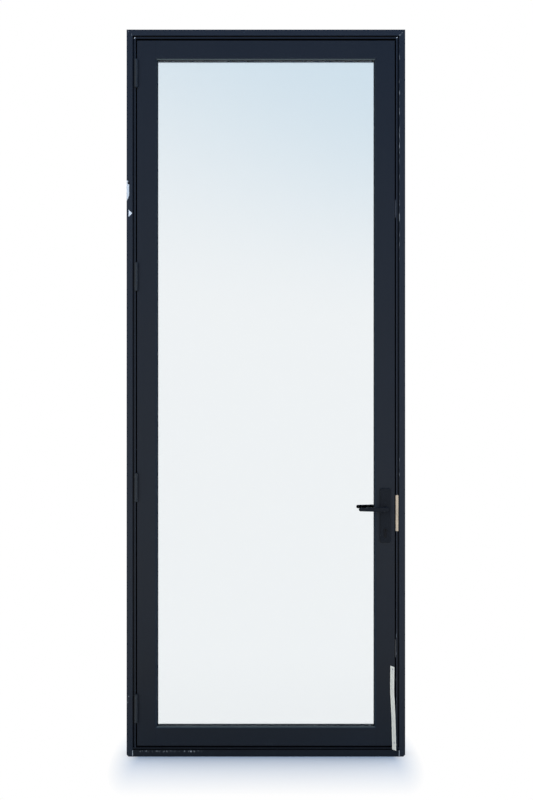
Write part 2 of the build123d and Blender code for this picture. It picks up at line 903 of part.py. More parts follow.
def faceplate():
    plate = block(
        leaf_right - faceplate_thickness,
        leaf_right,
        -faceplate_width / 2,
        faceplate_width / 2,
        faceplate_bottom,
        faceplate_top,
    )
    return plate - bolt_channels() - faceplate_screws(hole_gap)


def lock_cutters():
    """What the lock takes out of the lock stile."""
    half = faceplate_width / 2 + fit_gap
    slot = block(
        leaf_right - faceplate_thickness,
        leaf_right,
        -half,
        half,
        faceplate_bottom - fit_gap,
        faceplate_top + fit_gap,
    )
    neck_radius = lever_neck_radius + neck_hole_gap
    neck = hole_along_y(lever_x, lever_height, neck_radius, -leaf_depth, leaf_depth)
    cutters = [slot, neck, cylinder_prism(leaf_depth, 2 * fit_gap)]
    return cutters + plate_screws(fit_gap) + faceplate_screws(hole_gap)


def leaf_joint_places():
    """Heads of the corner screws inside the hinge stile, at -X: (x, y, z)."""
    x = leaf_left + stile_tube - leaf_wall
    front = (leaf_wall + leaf_shell_depth - strip_wall) / 2
    heights = (leaf_bottom + rail_tube / 2, leaf_top - rail_tube / 2)
    places = []
    for z in heights:
        for depth in (front, leaf_depth - front):
            places.append((x, front_y + depth, z))
    return places


def leaf_joint_screws(grow=0.0):
    screws = [facing(x, y, z, (-1, 0, 0)) * cap_screw(grow) for x, y, z in leaf_joint_places()]
    return screws + [mirrored_x(screw) for screw in screws]


def leaf_blocks():
    """Blocks in the ends of the rails' tubes, which the corner screws hold."""
    x_1 = leaf_right - stile_tube
    x_0 = x_1 - joint_block_length
    low, high = leaf_wall + fit_gap, rail_tube - leaf_wall - fit_gap
    near, far = leaf_wall + fit_gap, leaf_shell_depth - strip_wall - fit_gap
    blocks = []
    for y_0, y_1 in ((front_y + near, front_y + far), (back_y - far, back_y - near)):
        for z_0, z_1 in ((leaf_bottom + low, leaf_bottom + high), (leaf_top - high, leaf_top - low)):
            piece = block(x_0, x_1, y_0, y_1, z_0, z_1) - leaf_joint_screws(hole_gap)
            blocks += [piece, mirrored_x(piece)]
    return blocks


def lip_notches():
    """The rails' front faces stop where the lips of the stiles begin."""
    x_0 = leaf_right - stile_face
    x_1 = leaf_right - stile_tube
    notch = block(x_0, x_1, front_y, front_y + lip_thickness, leaf_bottom, leaf_top)
    return [notch, mirrored_x(notch)]


def leaf_lengths():
    """The eight shells of the leaf, by name."""
    rail_end = leaf_right - stile_tube
    joints = leaf_joint_screws(hole_gap)
    stile_front = run(leaf_front_section(stile_tube), leaf_box, "left", leaf_bottom, leaf_top) - joints
    stile_back = run(leaf_back_section(stile_tube), leaf_box, "left", leaf_bottom, leaf_top) - joints
    front = leaf_front_section(rail_tube)
    back = leaf_back_section(rail_tube)
    hinges = hinge_leaf_screws(hole_gap)
    lock = lock_cutters()
    edge_screws = edge_strip_screw_set(hole_gap)
    return {
        "leaf_hinge_stile_front": stile_front - hinges,
        "leaf_hinge_stile_back": stile_back - hinges,
        "leaf_lock_stile_front": mirrored_x(stile_front) - lock - edge_screws,
        "leaf_lock_stile_back": mirrored_x(stile_back) - lock,
        "leaf_top_rail_front": run(front, leaf_box, "top", -rail_end, rail_end) - lip_notches(),
        "leaf_top_rail_back": run(back, leaf_box, "top", -rail_end, rail_end),
        "leaf_bottom_rail_front": run(front, leaf_box, "bottom", -rail_end, rail_end) - lip_notches(),
        "leaf_bottom_rail_back": run(back, leaf_box, "bottom", -rail_end, rail_end),
    }


def leaf_strips():
    """Thermal strips of the leaf; those of the lock stile stop at the cases."""
    rail_end = leaf_right - stile_tube
    section = leaf_strips_section(stile_tube)
    hinge_side = run(section, leaf_box, "left", leaf_bottom, leaf_top)
    lock_side = run(section, leaf_box, "right", leaf_bottom, leaf_top)
    lock_side -= lock_case_boxes(fit_gap) + faceplate_screws(hole_gap)
    level = leaf_strips_section(rail_tube)
    low = run(level, leaf_box, "bottom", -rail_end, rail_end)
    high = run(level, leaf_box, "top", -rail_end, rail_end)
    return hinge_side.solids() + lock_side.solids() + low.solids() + high.solids()


def pane(depth_0):
    """One pane of the sealed unit."""
    side = stile_tube + glass_clearance
    end = rail_tube + glass_clearance
    y_0 = front_y + depth_0
    return block(
        leaf_left + side,
        leaf_right - side,
        y_0,
        y_0 + pane_thickness,
        leaf_bottom + end,
        leaf_top - end,
    )


def setting_blocks():
    """Blocks that carry the glass on the bottom rail."""
    low = leaf_bottom + rail_tube
    blocks = []
    for side in (-1, 1):
        x = side * block_spacing / 2
        blocks.append(
            block(
                x - block_length / 2,
                x + block_length / 2,
                -unit_thickness / 2,
                unit_thickness / 2,
                low,
                low + glass_clearance,
            )
        )
    return blocks


def front_beads():
    beads = around_glass(front_bead_section, 0.0, lip_width + bead_show)
    return [bead - lip_notches() for bead in beads]


def back_beads():
    return around_glass(back_bead_section, 0.0, lip_width + bead_show)


def gaskets(depth_0):
    inner = lip_width + bead_show + gasket_show
    return around_glass(lambda tube: gasket_section(tube, depth_0), inner - gasket_height, inner)


def handle_plate():
    """The front handle plate, with holes for the lever, the cylinder and the screws."""
    middle = (plate_bottom + plate_top) / 2
    plane = Plane((lever_x, front_y, middle), x_dir=(1, 0, 0), z_dir=(0, -1, 0))
    outline = RectangleRounded(plate_width, plate_top - plate_bottom, plate_corner)
    plate = extrude(plane * outline, plate_thickness)
    plate = fillet(plate.faces().sort_by(Axis.Y)[0].edges(), plate_edge)
    radius = lever_neck_radius + running_gap
    plate -= hole_along_y(lever_x, lever_height, radius, -plate_face, front_y)
    return plate - cylinder_prism(leaf_depth, fit_gap) - plate_screws(hole_gap)


def back_handle_plate():
    """The back plate, whose screw holes are countersunk."""
    middle = (plate_bottom + plate_top) / 2
    plane = Plane((lever_x, back_y, middle), x_dir=(-1, 0, 0), z_dir=(0, 1, 0))
    outline = RectangleRounded(plate_width, plate_top - plate_bottom, plate_corner)
    plate = extrude(plane * outline, plate_thickness)
    plate = fillet(plate.faces().sort_by(Axis.Y)[-1].edges(), plate_edge)
    radius = lever_neck_radius + running_gap
    plate -= hole_along_y(lever_x, lever_height, radius, back_y, plate_face)
    return plate - cylinder_prism(leaf_depth, fit_gap) - plate_screws(hole_gap)


def lever():
    """The front lever: a flat tapered grip on a round neck with a square socket."""
    outer_y = front_y - lever_projection
    plane = Plane((lever_x, outer_y + lever_thickness, lever_height), x_dir=(1, 0, 0), z_dir=(0, -1, 0))
    ends = Circle(lever_neck_radius) + Pos(-lever_reach, 0) * Circle(lever_tip_radius)
    grip = extrude(plane * make_hull(ends.edges()), lever_thickness)
    grip = fillet(grip.faces().sort_by(Axis.Y)[0].edges(), lever_edge)
    neck = hole_along_y(
        lever_x, lever_height, lever_neck_radius, outer_y + lever_edge, front_y - lever_neck_gap
    )
    return grip + neck - spindle(running_gap)


def spindle(grow=0.0):
    """The square spindle through the leaf, which reaches into both levers."""
    half = spindle_size / 2 + grow
    end = leaf_depth / 2 + spindle_bite + grow
    return block(lever_x - half, lever_x + half, -end, end, lever_height - half, lever_height + half)


def follower():
    """The round follower in the case, which the spindle turns."""
    half = case_thickness / 2
    round_part = hole_along_y(lever_x, lever_height, follower_radius, -half, half)
    return round_part - spindle(running_gap)


def cylinder():
    """The fixed body of the cylinder, bored for the plugs and cut away round the cam."""
    body = cylinder_prism(plate_face + cylinder_proud)
    bore = hole_along_y(lever_x, cylinder_z, plug_radius + running_gap, -leaf_depth, leaf_depth)
    return body - bore - cam_room() - cylinder_screw(hole_gap)


def key_plug():
    """The front plug with its key slot, and the cam behind it."""
    front = -plate_face - cylinder_proud
    cam_back = cam_width / 2
    plug = hole_along_y(lever_x, cylinder_z, plug_radius, front, cam_back)
    wide = hole_along_y(lever_x, cylinder_z, cylinder_radius, -cam_back, cam_back)
    lobe = block(
        lever_x - cylinder_tail_width / 2,
        lever_x + cylinder_tail_width / 2,
        -cam_back,
        cam_back,
        cylinder_z,
        cylinder_z + cam_radius - cam_gap,
    )
    slot = block(
        lever_x - key_slot_width / 2,
        lever_x + key_slot_width / 2,
        front,
        front + key_slot_depth,
        cylinder_z - key_slot_height / 2,
        cylinder_z + key_slot_height / 2,
    )
    return plug + wide + lobe - slot


def thumbturn():
    """The back plug with its flat turn."""
    end = plate_face + cylinder_proud
    plug = hole_along_y(lever_x, cylinder_z, plug_radius, cam_width / 2, end)
    plane = Plane((lever_x, end, cylinder_z), x_dir=(1, 0, 0), z_dir=(0, 1, 0))
    outline = SlotOverall(thumbturn_height, thumbturn_width, rotation=90)
    grip = extrude(plane * outline, thumbturn_depth)
    grip = fillet(grip.faces().sort_by(Axis.Y)[-1].edges(), plate_edge)
    return plug + grip


# Off-white strip


def edge_strip_screw_set(grow=0.0):
    screws = []
    y = front_y - fit_gap - edge_strip_thickness
    for inset, z in edge_strip_screws:
        screw = countersunk(
            edge_screw_radius,
            edge_screw_head_radius,
            edge_screw_head_height,
            edge_screw_length,
            grow,
        )
        screws.append(facing(leaf_right - inset, y, z, (0, -1, 0)) * screw)
    return screws


def strip_outline(half, slant):
    """The strip seen from the front; its ends slope down to the right."""
    left = [(leaf_right - inset - half, z) for inset, z in edge_strip_line]
    right = [(leaf_right - inset + half, z) for inset, z in edge_strip_line]
    right[0] = (right[0][0], right[0][1] - slant)
    right[-1] = (right[-1][0], right[-1][1] - slant)
    edges = Spline(left) + Line(left[-1], right[-1]) + Spline(right[::-1]) + Line(right[0], left[0])
    return make_face(edges)


def edge_strip():
    """A thin bowed strip with a shallow groove along its middle."""
    back = front_y - fit_gap
    plane = Plane((0, back, 0), x_dir=(1, 0, 0), z_dir=(0, -1, 0))
    strip = extrude(plane * strip_outline(edge_strip_width / 2, edge_strip_slant), edge_strip_thickness)
    groove_back = back - edge_strip_thickness + edge_strip_groove_depth
    groove_plane = Plane((0, groove_back, 0), x_dir=(1, 0, 0), z_dir=(0, -1, 0))
    groove = extrude(groove_plane * strip_outline(edge_strip_groove / 2, 0.0), edge_strip_groove_depth)
    return strip - groove - edge_strip_screw_set(hole_gap)


# Write one file for each node


def nodes():
    frame_side = -1
    leaf_side = 1
    parts = frame_lengths()
    parts.update(
        frame_thermal_strips=frame_strips(),
        frame_corner_cleats=frame_cleats(),
        frame_sill_blocks=sill_blocks(),
        frame_sill_screws=sill_screws(),
        frame_weatherstrip=weatherstrip(),
        hinge_frame_halves=hinge_halves(frame_side, 0, hinge_frame_screws(hole_gap)),
        hinge_pins=hinge_pins(),
        hinge_frame_screws=hinge_frame_screws(),
        strike_plate=strike(),
        bolt_keeps=keeps(),
        keep_screws=keep_screws(),
    )
    parts.update(leaf_lengths())
    parts.update(
        leaf_thermal_strips=leaf_strips(),
        leaf_corner_blocks=leaf_blocks(),
        leaf_corner_screws=leaf_joint_screws(),
        glass_front_pane=pane(unit_front),
        glass_back_pane=pane(unit_back - pane_thickness),
        glass_spacer_bars=around_glass(
            spacer_section,
            glass_clearance + edge_seal_width,
            glass_clearance + edge_seal_width + spacer_width,
        ),
        glass_edge_seal=around_glass(
            edge_seal_section, glass_clearance, glass_clearance + edge_seal_width
        ),
        glass_setting_blocks=setting_blocks(),
        glazing_beads_front=front_beads(),
        glazing_beads_back=back_beads(),
        glazing_gaskets_front=gaskets(unit_front - gasket_thickness),
        glazing_gaskets_back=gaskets(unit_back),
        hinge_leaf_halves=hinge_halves(leaf_side, 1, hinge_leaf_screws(hole_gap)),
        hinge_leaf_screws=hinge_leaf_screws(),
        lock_faceplate=faceplate(),
        lock_cases=lock_cases(),
        lock_faceplate_screws=faceplate_screws(),
        lock_cylinder=cylinder(),
        handle_plate_front=handle_plate(),
        handle_plate_back=back_handle_plate(),
        handle_plate_screws=plate_screws(),
        edge_strip=edge_strip(),
        edge_strip_screws=edge_strip_screw_set(),
        lever_front=lever(),
        lever_back=mirrored_y(lever()),
        lever_spindle=spindle(),
        lock_follower=follower(),
        lock_latch=latch(),
        lock_bolts=bolts(),
        lock_rods=rods(),
        key_plug=key_plug(),
        thumbturn=thumbturn(),
    )
    return parts


def main():
    for name, shape in nodes().items():
        solids = shape if isinstance(shape, list) else [shape]
        export_step(Compound(children=list(solids)), f"parts/{name}.step")


main()
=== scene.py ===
import json
import math

import bmesh
import bpy
from bpy.props import FloatProperty, FloatVectorProperty, PointerProperty
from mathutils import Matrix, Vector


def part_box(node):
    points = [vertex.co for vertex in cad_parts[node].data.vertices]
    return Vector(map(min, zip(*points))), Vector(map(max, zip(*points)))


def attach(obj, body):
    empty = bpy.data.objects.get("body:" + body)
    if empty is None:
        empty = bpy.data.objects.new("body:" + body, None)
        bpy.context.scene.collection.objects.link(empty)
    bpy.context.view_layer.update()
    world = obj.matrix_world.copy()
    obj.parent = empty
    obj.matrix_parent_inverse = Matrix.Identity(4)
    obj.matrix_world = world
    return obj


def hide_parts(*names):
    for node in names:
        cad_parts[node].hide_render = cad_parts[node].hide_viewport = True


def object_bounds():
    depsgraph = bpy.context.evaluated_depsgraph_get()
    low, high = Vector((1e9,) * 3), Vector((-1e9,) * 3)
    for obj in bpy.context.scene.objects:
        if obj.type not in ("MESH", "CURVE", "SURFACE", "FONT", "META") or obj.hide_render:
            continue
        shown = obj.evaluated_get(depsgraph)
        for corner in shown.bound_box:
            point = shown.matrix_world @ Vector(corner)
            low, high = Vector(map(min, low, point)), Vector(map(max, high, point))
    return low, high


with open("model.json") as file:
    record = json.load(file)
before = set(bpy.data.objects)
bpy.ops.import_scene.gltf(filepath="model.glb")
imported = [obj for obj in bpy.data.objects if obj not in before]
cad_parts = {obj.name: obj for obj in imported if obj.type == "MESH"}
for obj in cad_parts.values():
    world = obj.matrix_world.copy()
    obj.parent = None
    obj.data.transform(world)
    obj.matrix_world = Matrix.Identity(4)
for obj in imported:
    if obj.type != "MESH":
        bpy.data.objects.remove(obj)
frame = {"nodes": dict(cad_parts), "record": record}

bl_info = {
    "name": "Glazed exterior door",
    "version": (1, 0, 0),
    "blender": (4, 5, 0),
    "location": "3D View > Sidebar > Exterior door",
    "description": "Gives a packed exterior door its finishes, screws, gaskets and stage",
    "category": "Object",
}

# Sizes are in millimetres and turned to metres by MM. X runs right, the front faces -Y, Z runs up.
MM = 0.001
CAD_LOW, CAD_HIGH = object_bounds()

# Places on the door, as in the CAD model
FRONT_FACE = -28.5
BACK_FACE = 28.5
LEVER_X = 500.0
LEVER_HEIGHT = 1040.0
HINGE_HEIGHTS = (203.0, 1128.68, 2011.8, 2863.0)
HINGE_LENGTH = 114.0
BOLT_HEIGHTS = (450.0, 2300.0)
GLASS_MIDDLE = (0.0, 1523.75)
SIGHT_WIDTH = 910.0
SIGHT_HEIGHT = 2793.5
# The frame's groove, the foot of its fin and the fin's end, from the outer edge
GROOVE_NEAR = 25.0
GROOVE_FAR = 34.5
FIN_FAR = 38.5
# The joint between stile and rail, from the door's middle
STILE_INNER = 463.0
# A bead's bevel lies farther than this from the middle of the leaf's thickness
BEVEL_DEPTH = 23.8
PLATE_THICKNESS = 9.0  # of a handle plate
PLATE_SCREW_DROP = 130.0  # below the lever
PLATE_SCREW_RISE = 73.0  # above the lever
KEEP_SCREW_REACH = 29.0  # from the middle of a bolt's keep

# How the door's shadow, real and painted, fades to plain white on the floor
SHADOW_END_INSET = 54.0  # where it starts to fade, inside the door's ends
SHADOW_END_RATE = 5.0  # how much faster it fades past them
SHADOW_CURVE = 0.6  # under 1: quickly beside the door and slowly farther off


def linear(hex_colour):
    """The linear red, green and blue of an sRGB hex colour."""
    channels = [int(hex_colour[i : i + 2], 16) / 255 for i in (1, 3, 5)]
    return [c / 12.92 if c <= 0.04045 else ((c + 0.055) / 1.055) ** 2.4 for c in channels]


def opaque(colour):
    """A colour with full alpha, as a colour socket takes it."""
    return (*colour[:3], 1.0)


# A near black for dark joints, for dirt and for painted shade
DARK_GRIME_AND_SHADE = linear("#07090C")


# Settings that a user would change


class StageSettings(bpy.types.PropertyGroup):
    """Camera, floor and surround"""

    camera_distance: FloatProperty(
        name="Camera distance",
        description="From the camera to the middle of the leaf's thickness",
        default=6.03,
        unit="LENGTH",
    )
    camera_height: FloatProperty(
        name="Camera height",
        description="Height of the camera above the floor",
        default=1.495,
        unit="LENGTH",
    )
    camera_side: FloatProperty(
        name="Camera side",
        description="How far the camera stands to the right of the door's middle",
        default=0.0025,
        unit="LENGTH",
    )
    lens: FloatProperty(
        name="Lens",
        description="Focal length on a 36 mm sensor",
        default=64.42,
        unit="CAMERA",
    )
    floor_colour: FloatVectorProperty(
        name="Floor colour",
        description="Colour of the plain floor",
        subtype="COLOR",
        default=linear("#C4D6EA"),
    )
    floor_far: FloatProperty(
        name="Floor far",
        description="Distance from the door beyond which the floor is seen as plain white",
        default=0.6,
        unit="LENGTH",
    )
    ambient_colour: FloatVectorProperty(
        name="Ambient colour",
        description="Colour of the soft light from all round",
        subtype="COLOR",
        default=linear("#C8E0FF"),
    )
    ambient_strength: FloatProperty(
        name="Ambient strength",
        description="Level of the soft light from all round",
        default=0.5,
        min=0.0,
    )
    reflected_white: FloatVectorProperty(
        name="Reflected white",
        description="Colour that glass and metal reflect from in front of the door",
        subtype="COLOR",
        default=linear("#DADCDF"),
    )
    reflected_sky: FloatVectorProperty(
        name="Reflected sky",
        description="Colour that glass and metal reflect from high in front of the door",
        subtype="COLOR",
        default=linear("#2C8CEB"),
    )
    seen_sky: FloatVectorProperty(
        name="Sky through the glass",
        description="Colour that the white behind the glass turns to towards the top",
        subtype="COLOR",
        default=linear("#E1EEF5"),
    )


class PaintSettings(bpy.types.PropertyGroup):
    """Powder coat and the metal under it"""

    frame_colour: FloatVectorProperty(
        name="Frame paint",
        description="Colour of the frame's powder coat",
        subtype="COLOR",
        default=linear("#181D24"),
    )
    leaf_colour: FloatVectorProperty(
        name="Leaf paint",
        description="Colour of the leaf's powder coat",
        subtype="COLOR",
        default=linear("#12161B"),
    )
    bare_colour: FloatVectorProperty(
        name="Bare metal",
        description="Colour of the aluminium where the coat is worn away",
        subtype="COLOR",
        default=linear("#DFE4E6"),
    )


class GlassSettings(bpy.types.PropertyGroup):
    """Glass and its gaskets"""

    tint: FloatVectorProperty(
        name="Glass tint",
        description="Colour that each pane gives to what is seen through it",
        subtype="COLOR",
        default=linear("#F7F9FA"),
    )
    gasket_thickness: FloatProperty(
        name="Gasket thickness",
        description="Thickness of the gasket between bead and glass",
        default=3.0 * MM,
        unit="LENGTH",
    )
    gasket_width: FloatProperty(
        name="Gasket width",
        description="Width of the gasket, most of which the bead hides",
        default=11.0 * MM,
        unit="LENGTH",
    )
    gasket_show: FloatProperty(
        name="Gasket show",
        description="How much of the gasket stands past the bead",
        default=1.0 * MM,
        unit="LENGTH",
    )


class HardwareSettings(bpy.types.PropertyGroup):
    """Handle, strike plate and screws"""

    handle_colour: FloatVectorProperty(
        name="Handle",
        description="Colour of the levers and their plates",
        subtype="COLOR",
        default=linear("#1B1D20"),
    )
    strike_colour: FloatVectorProperty(
        name="Strike plate",
        description="Colour of the strike plate's dull plating",
        subtype="COLOR",
        default=linear("#C3AE92"),
    )
    lip_trim: FloatProperty(
        name="Lip trim",
        description="How much narrower the strike plate's lip is than its solid",
        default=6.0 * MM,
        unit="LENGTH",
    )
    recess_width: FloatProperty(
        name="Recess width",
        description="Width of one arm of a screw's cross recess, as a share of the head's radius",
        default=0.26,
        min=0.0,
        max=1.0,
        subtype="FACTOR",
    )


class StripSettings(bpy.types.PropertyGroup):
    """The bowed strip on the lock stile"""

    colour: FloatVectorProperty(
        name="Strip colour",
        description="Colour of the bowed plastic strip",
        subtype="COLOR",
        default=linear("#D7D1C0"),
    )
    width: FloatProperty(
        name="Strip width",
        description="Width of the bowed strip",
        default=16.8 * MM,
        unit="LENGTH",
    )
    thickness: FloatProperty(
        name="Strip thickness",
        description="Thickness of the bowed strip",
        default=3.2 * MM,
        unit="LENGTH",
    )


# Nodes of materials and of geometry

# The sockets of a colour mix, some of which share their names
MIX_A, MIX_B, MIX_RESULT = 6, 7, 2


def add(tree, kind, inputs=None, **settings):
    """Add a node with its settings, and give its inputs, by name or number, their values and links.

    A link is another node's output, or the node itself for its first output.
    """
    node = tree.nodes.new(kind)
    for name, value in settings.items():
        setattr(node, name, value)
    for socket, value in (inputs or {}).items():
        if isinstance(value, bpy.types.Node):
            value = value.outputs[0]
        if isinstance(value, bpy.types.NodeSocket):
            tree.links.new(value, node.inputs[socket])
        else:
            node.inputs[socket].default_value = value
    return node


def per_metre(size):
    """The texture scale whose features are about this many millimetres wide."""
    return 1.0 / (size * MM)


def new_finish(name):
    """A material with a shader and an output: gives the material, its tree, the shader, the place."""
    material = bpy.data.materials.new(name)
    material.use_nodes = True
    tree = material.node_tree
    tree.nodes.clear()
    shader = add(tree, "ShaderNodeBsdfPrincipled")
    add(tree, "ShaderNodeOutputMaterial", {"Surface": shader.outputs["BSDF"]})
    place = add(tree, "ShaderNodeTexCoord").outputs["Object"]
    return material, tree, shader, place


def dress(slot, material):
    """Give one material to the CAD nodes that the record has in a material slot."""
    for part in frame["record"]["subparts"]:
        if part["material_slot"] == slot:
            data = frame["nodes"][part["node"]].data
            data.materials.clear()
            data.materials.append(material)


def ragged_patch_group():
    """A group whose mask is 1 inside a ragged box: place, middle, half size, raggedness, softness."""
    tree = bpy.data.node_groups.new("Ragged patch", "ShaderNodeTree")
    sockets = (
        ("Place", "NodeSocketVector"),
        ("Middle", "NodeSocketVector"),
        ("Half size", "NodeSocketVector"),
        ("Ragged", "NodeSocketFloat"),
        ("Soft", "NodeSocketFloat"),
    )
    for name, kind in sockets:
        tree.interface.new_socket(name, in_out="INPUT", socket_type=kind)
    tree.interface.new_socket("Mask", in_out="OUTPUT", socket_type="NodeSocketFloat")
    given = add(tree, "NodeGroupInput").outputs
    away = add(tree, "ShaderNodeVectorMath", {0: given["Place"], 1: given["Middle"]}, operation="SUBTRACT")
    away = add(tree, "ShaderNodeVectorMath", {0: away}, operation="ABSOLUTE")
    half = given["Half size"]
    away = add(tree, "ShaderNodeVectorMath", {0: away, 1: half}, operation="SUBTRACT")
    parts = add(tree, "ShaderNodeSeparateXYZ", {0: away}).outputs
    far = add(tree, "ShaderNodeMath", {0: parts["X"], 1: parts["Z"]}, operation="MAXIMUM")
    far = add(tree, "ShaderNodeMath", {0: far, 1: parts["Y"]}, operation="MAXIMUM")
    noise = add(tree, "ShaderNodeTexNoise", {"Vector": given["Place"], "Scale": per_metre(7), "Detail": 3.0})
    bite = add(tree, "ShaderNodeMath", {0: noise.outputs["Fac"], 1: 0.5}, operation="SUBTRACT")
    bite = add(tree, "ShaderNodeMath", {0: bite, 1: given["Ragged"]}, operation="MULTIPLY")
    edge = add(tree, "ShaderNodeMath", {0: far, 1: bite}, operation="ADD")
    mask = add(tree, "ShaderNodeMath", {0: edge, 1: given["Soft"]}, operation="DIVIDE")
    mask = add(tree, "ShaderNodeMath", {0: 0.5, 1: mask}, operation="SUBTRACT", use_clamp=True)
    add(tree, "NodeGroupOutput", {"Mask": mask})
    return tree


def patch_mask(tree, place, low, high, ragged, soft):
    """The mask of one ragged patch between two corners, in millimetres, for wear, dirt and painted shade
    alike.
    """
    middle = [(a + b) / 2 * MM for a, b in zip(low, high)]
    half = [(b - a) / 2 * MM for a, b in zip(low, high)]
    group = bpy.data.node_groups.get("Ragged patch") or ragged_patch_group()
    sizes = {"Middle": middle, "Half size": half, "Ragged": ragged * MM, "Soft": soft * MM}
    return add(tree, "ShaderNodeGroup", {"Place": place, **sizes}, node_tree=group)


def brightest(tree, masks):
    """One mask that is as strong as the strongest of several."""
    whole = masks[0]
    for mask in masks[1:]:
        whole = add(tree, "ShaderNodeMath", {0: whole, 1: mask}, operation="MAXIMUM")
    return whole


def layered(tree, tone, layers):
    """A tone with colours laid over it; each layer is a mask and the colour that shows where it is 1."""
    for mask, colour in layers:
        values = {0: mask, MIX_A: tone, MIX_B: opaque(colour)}
        tone = add(tree, "ShaderNodeMix", values, data_type="RGBA").outputs[MIX_RESULT]
    return tone


def patches_mask(tree, place, rows, ragged, soft):
    """One mask of several ragged patches; each row is a strength and two opposite corners in millimetres."""
    masks = []
    for strength, low, high in rows:
        mask = patch_mask(tree, place, low, high, ragged, soft)
        masks.append(add(tree, "ShaderNodeMath", {0: mask, 1: strength}, operation="MULTIPLY"))
    return brightest(tree, masks)


# Finishes


def uneven(tree, shader, place, size, shades, roughness, grain, relief):
    """Vary tone and gloss over a size in millimetres, and height over a finer grain; gives the tone.

    Shades and roughness are the two ends that they vary between. Relief is the grain's strength and
    its depth in millimetres.
    """
    cloud = add(tree, "ShaderNodeTexNoise", {"Vector": place, "Scale": per_metre(size), "Detail": 4.0})
    darker, lighter = (opaque(shade) for shade in shades)
    tone = add(tree, "ShaderNodeMix", {0: cloud, MIX_A: darker, MIX_B: lighter}, data_type="RGBA")
    values = {"Value": cloud, "To Min": roughness[0], "To Max": roughness[1]}
    rough = add(tree, "ShaderNodeMapRange", values)
    fine = add(tree, "ShaderNodeTexNoise", {"Vector": place, "Scale": per_metre(grain)})
    values = {"Height": fine, "Strength": relief[0], "Distance": relief[1] * MM}
    bump = add(tree, "ShaderNodeBump", values)
    tree.links.new(rough.outputs[0], shader.inputs["Roughness"])
    tree.links.new(bump.outputs[0], shader.inputs["Normal"])
    return tone.outputs[MIX_RESULT]


def powder_coat(name, colour, roughness, gloss):
    """Polyester powder baked on aluminium: gives the material, its tree, the shader, the place, the tone."""
    material, tree, shader, place = new_finish(name)
    # A baked coat is slightly cloudy over a hand's width, both in tone and in gloss.
    shades = [c * 0.82 for c in colour], [c * 1.2 for c in colour]
    dullness = roughness - 0.08, roughness + 0.08
    # Its orange peel, 1 to 3 mm across, breaks up what it mirrors.
    tone = uneven(tree, shader, place, 240, shades, dullness, 2.5, (0.5, 0.06))
    shader.inputs["IOR"].default_value = 1.5
    shader.inputs["Specular IOR Level"].default_value = gloss
    return material, tree, shader, place, tone


def line_mask(tree, value, width):
    """1 where a distance, in metres, is within half of a width in millimetres of nothing."""
    away = add(tree, "ShaderNodeMath", {0: value}, operation="ABSOLUTE")
    return add(tree, "ShaderNodeMath", {0: away, 1: width * MM / 2}, operation="LESS_THAN")


def frame_powder_coat(settings):
    """Powder coat on the frame, with hairlines at the mitres, painted shade with some grime, a hole of
    painted shade, and worn places.

    The eye sees a soft satin charcoal, nearly black in the groove where shade and some dirt are painted,
    and pale aluminium where the coat is chipped or rubbed off.
    """
    material, tree, shader, place, tone = powder_coat(
        "Frame powder coat, satin charcoal", settings.frame_colour, 0.44, 0.4
    )
    parts = add(tree, "ShaderNodeSeparateXYZ", {0: place}).outputs
    side = add(tree, "ShaderNodeMath", {0: parts["X"]}, operation="ABSOLUTE")
    # How far a place stands above the mitres, which run down at 45 degrees from the upper corners
    rise = add(tree, "ShaderNodeMath", {0: parts["Z"], 1: side}, operation="SUBTRACT")
    rise = add(tree, "ShaderNodeMath", {0: rise, 1: CAD_HIGH.z - CAD_HIGH.x}, operation="SUBTRACT")
    bare = brightest(tree, [chipped_patches(tree, place), rubbed_edges(tree, place, rise)])
    layers = (
        # Painted shade, with some dirt, in the groove, on the fins and on the sill
        (grime_and_painted_shade(tree, place), DARK_GRIME_AND_SHADE),
        (line_mask(tree, rise, 1.2), DARK_GRIME_AND_SHADE),
        (bare, settings.bare_colour),
        # Painted shade in the old screw hole, and a dark speck above it
        (painted_hole_shade_and_speck(tree, place), DARK_GRIME_AND_SHADE),
    )
    tree.links.new(layered(tree, tone, layers), shader.inputs["Base Color"])
    metal = add(tree, "ShaderNodeMath", {0: bare, 1: 0.2}, operation="MULTIPLY")
    tree.links.new(metal.outputs[0], shader.inputs["Metallic"])
    return material


def grime_and_painted_shade(tree, place):
    """Painted shade, with some dirt, that darkens the groove and the foot of the fin, the whole fin of the
    head, and the sill.
    """
    x, z = CAD_HIGH.x / MM, CAD_HIGH.z / MM
    near, far, fin = GROOVE_NEAR, GROOVE_FAR, FIN_FAR
    # Each band of painted shade and dirt: a strength and two opposite corners
    bands = (
        (0.75, (-x + near, -30, 30), (-x + far, -8, z - near)),
        (0.75, (x - far, -30, 30), (x - near, -8, z - near)),
        (0.75, (-x + near, -30, z - far), (x - near, -8, z - near)),
        (0.75, (-x + near, -30, 28.5), (x - near, -8, 35)),
        (0.6, (-x + fin, -30, z - fin), (x - fin, -8, z - near)),
        (0.85, (-x + near, -30, -5), (x - near, -8, 38)),
    )
    return patches_mask(tree, place, bands, 1.0, 1.2)


